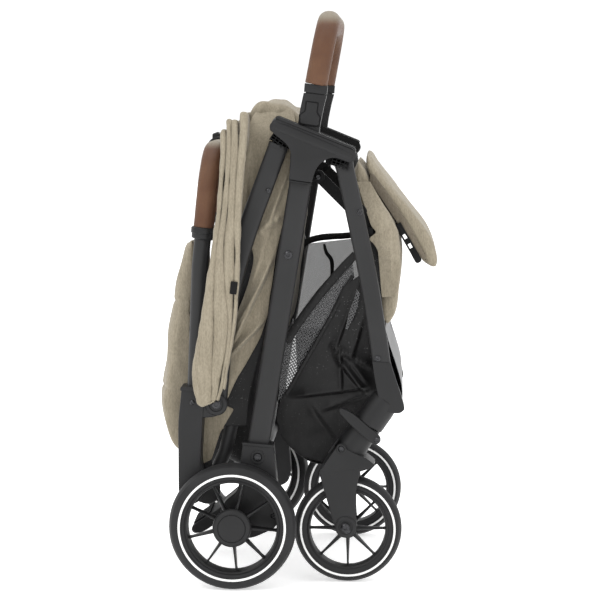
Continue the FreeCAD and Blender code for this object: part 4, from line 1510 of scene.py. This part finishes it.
@dataclass
class BackCurtain:
    """Gathered cloth behind the handle's legs, with its seam and hem."""

    finishes: Finishes

    def build(self, fitter: Fitter) -> None:
        """Fits the curtain."""
        body = plate("back_drape", [
            (-143, 484, 3), (-152, 458, 10), (-163, 410, 20), (-171, 366, 20), (-178, 320, 20),
            (-184, 262, 10), (-186, 236, 14), (-181, 206, 14), (-169, 180, 10), (-159, 171, 4),
            (-151, 190, 8), (-148, 300, 10), (-143, 420, 10)], -123.0, 123.0, 5.0, 3)
        body = stuffed(body, voxel=5.0, pressure=2.2, cap=5.0)
        for vertex in body.data.vertices:
            x, y, z = vertex.co / MM
            fold = 2.6 * math.sin(y / 17.0 + 0.9 * math.sin(z / 61.0)) * min(1.0, (484 - z) / 120.0)
            seam = -2.2 * math.exp(-((z - 386) / 3.2) ** 2) - 2.0 * math.exp(-((z - 264) / 2.6) ** 2)
            dent = 3.0 * noise.noise(Vector((x, y, z)) / 46.0)
            if x < -150:
                vertex.co.x -= (fold + seam + dent) * MM
        fitter.fit(body, self.finishes.sand, "handle", ["back_curtain"])
        flap = plate("flap", [(-131, 246, 2), (-100, 246, 3), (-84, 240, 4), (-104, 206, 4),
                              (-116, 168, 3),
                              (-128, 162, 3)], -151.0, -146.0, 1.8, 3)
        band = plate("flap_band", [(-129, 163.5, 1), (-116, 168, 1), (-115, 156, 2), (-129, 152, 2)],
                     -150.6, -146.4, 1.2, 3)
        fitter.pair(flap, self.finishes.sand, "handle")
        fitter.pair(band, self.finishes.black_cloth, "handle")


@dataclass
class SeatBack:
    """Padded back of the seat, and the side wings between the tubes."""

    finishes: Finishes

    def pad(self) -> Mesh:
        """The seat back's bulge over the hubs and down between the tubes."""
        body = plate("seat_back_pad", [
            (-64, 550, 12), (-69, 634, 14), (-62, 664, 10), (-48, 673, 10), (-28, 668, 14),
            (-6, 660, 10),
            (8, 652, 10), (12, 606, 20), (0, 470, 40), (-18, 332, 10), (-42, 328, 10), (-42, 420, 30),
            (-46, 506, 20)], -120.0, 120.0, 9.0, 4)
        body = stuffed(body, voxel=6.0, pressure=3.0, cap=6.0)
        for vertex in body.data.vertices:
            x, y, z = vertex.co / MM
            drift = 1.2 * noise.noise(Vector((x, y, z)) / 25.0)
            crease = math.sin((x * 0.9 - (z - 640) * 0.45) / 6.5 + y / 60.0 + drift)
            side = min(1.0, max(0.0, (abs(y) - 60) / 50))
            vertex.co.z += (1.6 * crease * (0.4 + 0.6 * side) * (1 if z > 560 else 0.3)) * MM
            vertex.co.y += math.copysign(2.8 * crease * side, -y) * MM
            vertex.co.x += 1.6 * noise.noise(Vector((x, y, z)) / 34.0) * MM
        return body

    def wing(self) -> Mesh:
        """Cloth wing that narrows from the hub to the knuckle, with slanting folds."""
        edges = through([(656, -52, -4), (640, -62, 0), (612, -67, 2), (575, -69, 0), (532, -72, -8),
                         (494, -71, -17), (456, -56, -25.5), (421, -62, -30), (397, -70, -34),
                         (373, -79, -37), (357, -81, -42), (341, -83, -47.4), (320, -88, -58.6),
                         (300, -91, -70), (282, -95, -81), (256, -101, -93)], 7)
        folds: tuple[Fold, ...] = (
            ((-12, 512), (-47, 489), 13.0, 8.0), ((-24, 462), (-86, 332), 13.0, 10.0),
            ((-38, 368), (-90, 316), 13.0, 9.0), ((-10, 566), (-34, 500), 9.0, 6.0),
            ((-30, 500), (-58, 420), 3.4, 6.0), ((-44, 420), (-84, 350), 4.0, 6.0),
            ((-62, 610), (-66, 520), 3.0, 5.0))

        def place(u: float, v: float) -> Vector:
            """Point at share u from rear to front, v from top to foot."""
            x, z = spanned(edges, u, v)
            soft = (noise.noise(Vector((x / 16, z / 48, 1.0)))
                    + 0.4 * noise.noise(Vector((x / 7, z / 19, 4.0))))
            fold = sum(tuck(x, z, *row) for row in folds)
            lean = 46.0 * max(0.0, (z - 596) / 60) ** 1.5
            inside = math.sin(math.pi * u)
            y = -155.5 - 3.0 * inside ** 0.7 - 1.3 * soft - fold * inside ** 0.3
            return Vector((x, y + lean, z))

        return cloth_sheet("seat_wing", 56, len(edges) - 1, place, thickness=1.8)

    def lining(self) -> Mesh:
        """Black lining behind the wing, seen beside the tubes."""
        edges = through([(600, -40, 6), (500, -72, -10), (430, -88, -22), (370, -98, -34),
                         (300, -105, -52), (258, -108, -62), (215, -110, -66)], 6)

        def place(u: float, v: float) -> Vector:
            """Point at share u from rear to front, v from top to foot."""
            x, z = spanned(edges, u, v)
            return Vector((x, -149.4 - 0.9 * noise.noise(Vector((x / 20, z / 50, 9.0))), z))

        return cloth_sheet("seat_lining", 12, len(edges) - 1, place, thickness=1.0)

    def build(self, fitter: Fitter) -> None:
        """Fits the pad, and dresses both wings and their linings."""
        pad = fitter.fit(self.pad(), self.finishes.sand, "chassis", ["seat_back"])
        for sheet, finish, width in ((self.wing(), self.finishes.sand, 70),
                                     (self.lining(), self.finishes.black_cloth, 60)):
            stem = sheet.name
            twin = mirrored(sheet, stem + "_left")
            sheet.name = stem + "_right"
            for side, piece in (("right", sheet), ("left", twin)):
                fitter.dress(piece, finish)
                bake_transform(piece)
                declare_sheet(width, 430)


@dataclass
class SeatBase:
    """Seat base pad with gathered sides, hanging in front of the legs."""

    finishes: Finishes

    def build(self, fitter: Fitter) -> None:
        """Fits the pad, its brackets, and the cloth at its sides."""
        body = plate("seat_base_pad", [
            (83, 588, 3), (94, 572, 8), (104, 549, 20), (119, 524, 24), (134, 505, 20), (143, 478, 20),
            (146, 450, 20), (142, 410, 24), (136, 368, 10), (128, 353, 5), (121, 356, 5),
            (116, 384, 20),
            (113, 440, 20), (109, 470, 12), (100, 496, 12), (88, 540, 20)], -121.0, 121.0, 6.0, 4)
        body = stuffed(body, voxel=5.0, pressure=3.0, cap=4.0)
        for vertex in body.data.vertices:
            x, y, z = vertex.co / MM
            side = min(1.0, max(0.0, (abs(y) - 100) / 14))
            lean = max(0.0, min(1.0, (136 - x) / 18)) * math.exp(-((z - 452) / 26) ** 4)
            pleat = math.sin((z + (x - 110) * 0.5) / 1.75)
            edge = (tuck(x, z, (84, 566), (112, 512), 3.0, 6.0)
                    + tuck(x, z, (132, 470), (136, 380), 2.0, 5.0))
            vertex.co.y += math.copysign(side * (1.5 * lean * pleat + edge), y) * MM
            vertex.co.x += 1.6 * noise.noise(Vector((x, y, z)) / 38.0) * MM
        fitter.fit(body, self.finishes.sand, "seat_base", ["seat_base"])
        right, _ = fitter.pair(self.bracket(), self.finishes.soft_black, "seat_base")
        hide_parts("seat_brackets")
        for sheet, finish, width, length in ((self.corner(), self.finishes.sand, 70, 210),
                                             (self.flank(), self.finishes.black_cloth, 24, 180)):
            for piece in fitter.pair(sheet, finish, "seat_base"):
                declare_sheet(width, length)

    def bracket(self) -> Mesh:
        """Stamped bracket with a folded rim and the rod that it holds."""
        blade = plate("seat_bracket", [(83, 526, 6), (97, 524, 5), (109, 497, 6), (110, 482, 6),
                                       (99, 479, 5),
                                       (84, 508, 6)], -144.2, -137.8, 1.4, 3)
        rod = turned("rod", [(0, 0), (4.6, 0), (5, 0.5), (5, 27.5), (4.6, 28), (0, 28)], (104, 489),
                     -148.0, 32)
        return joined("seat_bracket", [blade, rod])

    def corner(self) -> Mesh:
        """Pleated corner of the cover, wrapped over the bracket's end."""
        edges = through([(556, 86, 104), (530, 94, 119), (510, 101, 132), (496, 106, 139),
                         (487, 112, 143),
                         (478, 103.5, 144.4), (470, 110, 145.5), (460, 115, 146), (440, 117, 144.5),
                         (415, 119, 141.5), (395, 121, 139)], 8)

        def place(u: float, v: float) -> Vector:
            """Point at share u from rear to front, v from top to foot."""
            x, z = spanned(edges, u, v)
            turn = (z - 478 + (x - 104) * 0.35 * (478 - z) / 40) / 1.9
            fan = math.sin(turn) * math.exp(-((z - 455) / 30) ** 2)
            fold = (tuck(x, z, (104, 478), (134, 492), -3.2, 9.0)
                    + tuck(x, z, (131, 488), (134, 420), 2.0, 6.0))
            out = 24.0 * math.exp(-(abs(z - 490) / 40) ** 3) * (1 - u * u) ** 0.6
            return Vector((x, -124.5 - out - 0.9 * fan * (1 - u) - fold, z))

        return cloth_sheet("seat_corner", 34, len(edges) - 1, place, thickness=1.4)

    def flank(self) -> Mesh:
        """Black lining between the front leg and the gathers."""
        edges = through([(512, 86, 103), (480, 91, 110), (440, 98, 119), (400, 106, 121),
                         (360, 114, 122)], 6)

        def place(u: float, v: float) -> Vector:
            """Point at share u from rear to front, v from top to foot."""
            x, z = spanned(edges, u, v)
            return Vector((x, -123.4, z))

        return cloth_sheet("seat_flank", 8, len(edges) - 1, place, thickness=1.0)


@dataclass
class LegRest:
    """Leg rest flap with a webbing strip along each lower side."""

    finishes: Finishes

    def flap(self) -> Mesh:
        """Padded flap."""
        body = plate("leg_rest_pad", [
            (97.5, 603, 1), (108.5, 580, 6), (118, 567.5, 8), (140, 538.5, 20), (165, 508, 20),
            (188, 476, 12),
            (194, 457, 10), (198, 440, 5), (194.5, 430.5, 3), (186, 434, 6), (176, 452, 12),
            (153, 492, 20),
            (122, 541, 20), (106, 560, 10), (99.5, 577, 5)], -112.5, 112.5, 4.5, 4)
        body = stuffed(body, voxel=5.0, pressure=2.4, cap=3.0)
        for vertex in body.data.vertices:
            x, y, z = vertex.co / MM
            vertex.co.x += 1.2 * noise.noise(Vector((x, y, z)) / 40.0) * MM
            vertex.co.z += 0.8 * noise.noise(Vector((x, y + 90, z)) / 24.0) * MM
        return body

    def strip(self) -> Mesh:
        """Strip with its slots, made of rungs and two edges."""
        start, end = Vector((142.5, 497)), Vector((171, 447))
        along = (end - start).normalized()
        across = Vector((along.y, -along.x))
        length = (end - start).length

        def slab(a: float, b: float, low: float, high: float, y0: float, y1: float,
                 soft: float) -> Mesh:
            """A slab between shares a and b along the strip and low to high across it."""
            corners = [start + along * length * share + across * aside
                       for share, aside in ((a, low), (b, low), (b, high), (a, high))]
            return plate("slab", [(*c, soft) for c in corners], y0, y1, 0.8, 2)

        return joined("leg_rest_strip", [
            slab(0.0, 1.0, -4.6, -2.2, -117.6, -113.0, 0.8),
            slab(0.0, 1.0, 2.2, 4.6, -117.6, -113.0, 0.8),
            *(slab(low, high, -3.0, 3.0, -117.2, -113.2, 0.4)
              for low, high in ((0.0, 0.3), (0.42, 0.56), (0.68, 0.86))),
            slab(0.8, 1.08, -4.8, 4.8, -118.0, -113.0, 4.2)])

    def build(self, fitter: Fitter) -> None:
        """Fits the flap, a plate with painted shade for its underside, and its strips."""
        pad = fitter.fit(self.flap(), self.finishes.sand, "leg_rest", ["leg_rest"])
        # Painted shade: a plate in the darker sand stands for the flap's underside, which lies in
        # shadow.
        lining = plate("leg_rest_lining", [(104, 566, 1), (109, 566, 4), (126, 543, 12), (158, 496, 12),
                                           (183, 450, 4),
                                           (178, 447, 2), (148, 489, 20), (118, 534, 16),
                                           (103, 555, 3)],
                       -114.6, 114.6, 1.4, 3)
        fitter.fit(lining, self.finishes.shaded_sand, "leg_rest")
        right, _ = fitter.pair(self.strip(), self.finishes.soft_black, "leg_rest")
        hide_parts("leg_rest_strips")


@dataclass
class Basket:
    """Shopping basket of black cloth with net sides, slung between the legs."""

    finishes: Finishes
    half: float = 112.0
    start: Corner = (-0.004, 0.0, 0.35)
    end: Corner = (0.088, 0.0, 0.35)

    def hang(self, fitter: Fitter, piece: Mesh, material: bpy.types.Material) -> Mesh:
        """Dresses a part of the basket and bakes its placement into its mesh."""
        fitter.dress(piece, material)
        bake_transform(piece)
        return piece

    def panel(self, name: str, left: Sequence[Knot], right: Sequence[Knot], y: float,
              bulge: float, crumple: float, thickness: float, fine: int = 26) -> Mesh:
        """A side panel between two edge lines.

        Args:
            name: The piece's name.
            left: (x, z) points of its rear edge from top to foot.
            right: (x, z) points of its front edge, as many as the rear edge has.
            y: Place across the width.
            bulge: How far its middle stands out.
            crumple: Depth of its creases.
            thickness: The cloth's thickness.
            fine: Faces across.

        Returns:
            The finished mesh.
        """
        rears, fronts = through(left, 8), through(right, 8)
        count = len(rears) - 1

        def place(u: float, v: float) -> Vector:
            """Point at share u from rear to front, v from top to foot."""
            index = round(v * count)
            x, z = rears[index] * (1 - u) + fronts[index] * u
            out = bulge * math.sin(math.pi * u) * math.sin(math.pi * min(1, v * 0.9 + 0.1))
            wave = noise.noise(Vector((x, z, y)) / 26.0) + 0.6 * noise.noise(Vector((x, z, -y)) / 11.0)
            ridge = 1 - abs(2 * noise.noise(Vector((x * 1.4, z * 0.7, y)) / 34.0))
            return Vector((x, y + math.copysign(out + crumple * (wave + 0.8 * ridge - 0.5), y), z))

        return cloth_sheet(name, fine, count, place, thickness, 1)

    def hem(self, name: str, knots: Sequence[Knot]) -> Mesh:
        """A flat edging band along (x, y, z, half depth, half width) knots."""
        return bar(name, through(knots, 6), Y_WAY, power=2.6, around=16, bevel=0, ripple=0.4, pitch=12)

    def creased(self) -> Mesh:
        """Black cloth side below the net, with sharp folds that meet low at the front."""
        rears = through([(66, 408), (44, 362), (20, 318), (-4, 272), (-20, 250), (-26, 220),
                         (-16, 190), (8, 168)], 12)
        fronts = through([(94, 428), (100, 392), (106, 350), (115, 300), (118, 264), (108, 226),
                          (88, 190), (54, 156)], 12)
        count = len(rears) - 1
        folds: tuple[Fold, ...] = (
            ((106, 296), (52, 324), 11.0, 8.0), ((98, 260), (56, 312), 12.0, 8.0),
            ((100, 268), (-2, 254), 12.0, 10.0), ((62, 318), (64, 262), 6.0, 8.0),
            ((102, 272), (78, 304), 8.0, 6.0), ((108, 262), (40, 236), 9.0, 9.0),
            ((20, 240), (70, 170), 6.0, 14.0), ((90, 420), (56, 322), 6.0, 9.0),
            ((100, 384), (76, 300), 6.0, 9.0))

        def place(u: float, v: float) -> Vector:
            """Point at share u from rear to front, v from top to foot."""
            index = round(v * count)
            x, z = rears[index] * (1 - u) + fronts[index] * u
            inside = math.sin(math.pi * min(max(u, 0.02), 0.98)) ** 0.35
            fold = sum(tuck(x, z, *row) for row in folds)
            soft = (noise.noise(Vector((x, z, 3.0)) / 30.0)
                    + 0.4 * noise.noise(Vector((x, z, 8.0)) / 12.0))
            return Vector((x, -self.half - 2.0 - inside * (2.5 + 0.85 * fold + 1.8 * soft), z))

        return cloth_sheet("basket_side_right", 84, count, place, thickness=1.4)

    def build(self, fitter: Fitter) -> None:
        """Dresses the basket's panels, edging and strap, and fits its pocket."""
        done, half = self.finishes, self.half
        self.hang(fitter, self.hem("basket_hem_right", [
            (-12, -half - 3, 330, 2.4, 5.6), (2, -half - 3.6, 354, 2.4, 6),
            (31, -half - 4, 394, 2.4, 6.2),
            (60, -half - 3.6, 428, 2.4, 6), (84, -half - 3, 454, 2.4, 5.6)]), done.black_cloth)
        near = self.hang(fitter, self.panel("basket_net_right",
                                            [(80, 444), (48, 409), (20, 372), (-14, 333), (-22, 300)],
                                    [(82, 424), (58, 380), (30, 330), (0, 278), (-24, 246)], -half, 1.0,
                                            0.4, 0.7, 12),
                         done.dark_net)
        declare_sheet(60, 170)
        cloth = self.hang(fitter, self.creased(), done.black_cloth)
        declare_sheet(200, 290)
        gap = self.hang(fitter, self.panel("basket_window_right", [(84, 408), (76, 378), (70, 350)],
                                   [(90, 400), (86, 376), (73, 348)], -half - 8.5, 0.2, 0.2, 0.6, 6),
                        done.dark_net)
        declare_sheet(20, 66)
        self.hang(fitter, self.hem("basket_binding_right", [
            (80, -half - 3, 424, 1.8, 2.8), (57, -half - 4, 379, 1.8, 3.2),
            (30, -half - 4, 331, 1.8, 3.2),
            (3, -half - 4, 284, 1.8, 3.2), (-13, -half - 3, 256, 1.8, 2.8)]), done.black_cloth)
        far = self.hang(fitter, self.panel("basket_net_left",
                                           [(4, 452), (0, 410), (-6, 370), (-11, 318)],
                                   [(92, 462), (96, 420), (98, 370), (92, 318)], half, 1.0, 0.5, 0.7,
                                           20), done.grey_net)
        declare_sheet(110, 145)
        self.hang(fitter, self.hem("basket_hem_left", [
            (0, half, 450, 2.4, 4.6), (12, half + 1, 457.5, 2.4, 4.8), (32, half + 1, 462, 2.4, 4.8),
            (60, half + 1, 464, 2.4, 4.8), (92, half, 466, 2.4, 4.6)]), done.black_cloth)
        side = self.hang(fitter, self.panel("basket_side_left",
                                            [(-11, 322), (-8, 260), (-6, 214), (2, 182), (16, 165)],
                                    [(104, 334), (114, 290), (114, 250), (96, 206), (62, 163)],
                                            half + 1.0, 4.0, 3.0,
                                    1.6, 30), done.black_cloth)
        declare_sheet(160, 180)
        trough = self.hang(fitter, self.trough(), done.black_cloth)
        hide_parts("basket")
        pocket = fitter.fit(self.pocket(), done.black_cloth, "chassis")
        declare_sheet(260, 620)
        self.hang(fitter, self.strap(), done.black_cloth)

    def pocket(self) -> Mesh:
        """Slack rear pocket that hangs behind the rear legs."""
        body = plate("basket_pocket", [(-74, 322, 8), (-32, 322, 8), (-34, 250, 20), (-48, 158, 8),
                                       (-62, 148, 6),
                                       (-100, 160, 8), (-104, 220, 20)], -106.0, 106.0, 5.0, 3)
        body = stuffed(body, voxel=6.0, pressure=1.0, cap=4.0)
        for vertex in body.data.vertices:
            x, y, z = vertex.co / MM
            vertex.co.x += 4.0 * noise.noise(Vector((x, y, z * 0.5)) / 32.0) * MM
            vertex.co.y += 2.0 * noise.noise(Vector((x, y, z * 0.4 + 50)) / 20.0) * MM
        return body

    def trough(self) -> Mesh:
        """Front, floor and rear of the basket as one sagging sheet."""
        line = through([(96, 430), (103, 380), (112, 310), (114, 262), (104, 222), (84, 188), (60, 163),
                        (38, 157), (8, 168), (-16, 190), (-24, 228), (-20, 290), (-14, 340)], 6)
        count = len(line) - 1

        def place(u: float, v: float) -> Vector:
            """Point at share u across the width, v from the front edge round to the rear edge."""
            x, z = line[round(v * count)]
            y = -self.half + 2 * self.half * u
            sag = 3.0 * math.sin(math.pi * u) * math.sin(math.pi * v)
            dent = 2.4 * noise.noise(Vector((x, y, z)) / 30.0)
            return Vector((x + dent, y, z - sag + dent))

        return cloth_sheet("basket_trough", 36, count, place)

    def strap(self) -> Mesh:
        """Narrow strap that hangs inside the far side."""
        return bar("basket_strap", through([
            (33, 108, 452, 0.9, 1.8), (36, 106, 440, 0.9, 2.6), (44, 105, 428, 0.9, 3.0),
            (45, 105, 412, 0.9, 2.6),
            (44, 105, 396, 0.9, 2.2)], 8), Y_WAY, 2.6, 12, 0)


# ---------------------------------------------------------------- setting
@dataclass
class Studio:
    """Pale floor that glows a little, soft lights and the camera."""

    eye: Corner = (0.138, -3.1627, 0.6907)
    azimuth: float = 2.475
    dip: float = 5.64
    lens: float = 131.2
    glow: float = 0.5
    sky: float = 1.1
    lamps: tuple[tuple[str, Corner, float, float], ...] = (
        # name, place, size, power
        ("key", (-1.5, -2.4, 2.6), 1.3, 26), ("fill", (2.4, -2.4, 1.4), 2.0, 14),
        ("top", (0.2, 0.2, 3.0), 2.2, 26), ("back", (0.4, 2.6, 1.8), 2.4, 10))

    def floor(self) -> None:
        """Adds the floor."""
        clear_selection()
        bpy.ops.mesh.primitive_plane_add(size=24)
        floor = bpy.context.object
        floor.name = "floor"
        graph = Graph("pale floor")
        tone = graph.speckle(3.0, 2.0)
        graph.set(Base_Color=graph.blend(tone, (0.93, 0.93, 0.93), (0.95, 0.95, 0.95)),
                  Roughness=0.9 + tone * 0.05, Emission_Color=(1.0, 1.0, 1.0),
                  Emission_Strength=self.glow)
        floor.data.materials.append(graph.material)

    def light(self, name: str, place: Sequence[float], size: float, power: float) -> None:
        """Adds a soft square lamp that looks at the pushchair's middle."""
        lamp = bpy.data.lights.new(name, "AREA")
        lamp.size, lamp.energy = size, power
        item = bpy.data.objects.new(name, lamp)
        bpy.context.scene.collection.objects.link(item)
        item.location = place
        item.rotation_euler = (Vector((0, 0, 0.4)) - Vector(place)).to_track_quat("-Z", "Y").to_euler()

    def build(self) -> None:
        """Sets the floor, lights, world and camera."""
        self.floor()
        for lamp in self.lamps:
            self.light(*lamp)
        world = bpy.data.worlds.new("studio")
        bpy.context.scene.world = world
        world.use_nodes = True
        background = world.node_tree.nodes["Background"]
        background.inputs["Color"].default_value = (1, 1, 1, 1)
        background.inputs["Strength"].default_value = self.sky
        bpy.context.scene.view_settings.view_transform = "Standard"
        camera = bpy.data.cameras.new("camera")
        camera.lens, camera.sensor_width = self.lens, 36.0
        camera.clip_start, camera.clip_end = 0.1, 60
        item = bpy.data.objects.new("camera", camera)
        bpy.context.scene.collection.objects.link(item)
        item.location = self.eye
        item.rotation_euler = (math.radians(90 - self.dip), 0, math.radians(self.azimuth))
        bpy.context.scene.camera = item


def dress_cad(finishes: Finishes) -> None:
    """Gives every CAD node the finish of its record slot."""
    for row in frame["record"]["subparts"]:
        node = frame["nodes"][row["node"]]
        node.data.materials.clear()
        dark = row["node"] in CAD_BLACK
        node.data.materials.append(
            finishes.soft_black if dark else finishes.of_slot(row["material_slot"]))


def main() -> None:
    """Builds the looks in order and reports each piece."""
    logging.basicConfig(level=logging.INFO, format="%(message)s")
    finishes = Finishes()
    fitter = Fitter(finishes)
    dress_cad(finishes)
    Studio().build()
    rear = Wheel("rear_wheel", centre=(-82.0, 87.5), y=-215.0, radius=87.5, half_width=18.0,
                 ring=(71.0, 74.2), rim=64.2, hub=17.0, spokes=9, first_spoke=-5.0,
                 body="rear_wheel_{side}", cap=True)
    front = Wheel("front_wheel", centre=(75.0, 75.0), y=-158.0, radius=75.0, half_width=14.0,
                  ring=(63.6, 66.6), rim=55.4, hub=13.0, spokes=8, first_spoke=-90.0,
                  body="front_wheel_{side}", cap=False)
    for group in (rear, front, Hub(finishes), FrameTubes(finishes), RearFeet(finishes),
                  FrontEnd(finishes),
                  Handle(finishes), Bumper(finishes), Brake(finishes), Rivets(finishes),
                  Canopy(finishes),
                  BackCurtain(finishes), SeatBack(finishes), SeatBase(finishes), LegRest(finishes),
                  Basket(finishes)):
        logging.info("-- %s", type(group).__name__)
        group.build(fitter)


if __name__ == "__main__":
    main()
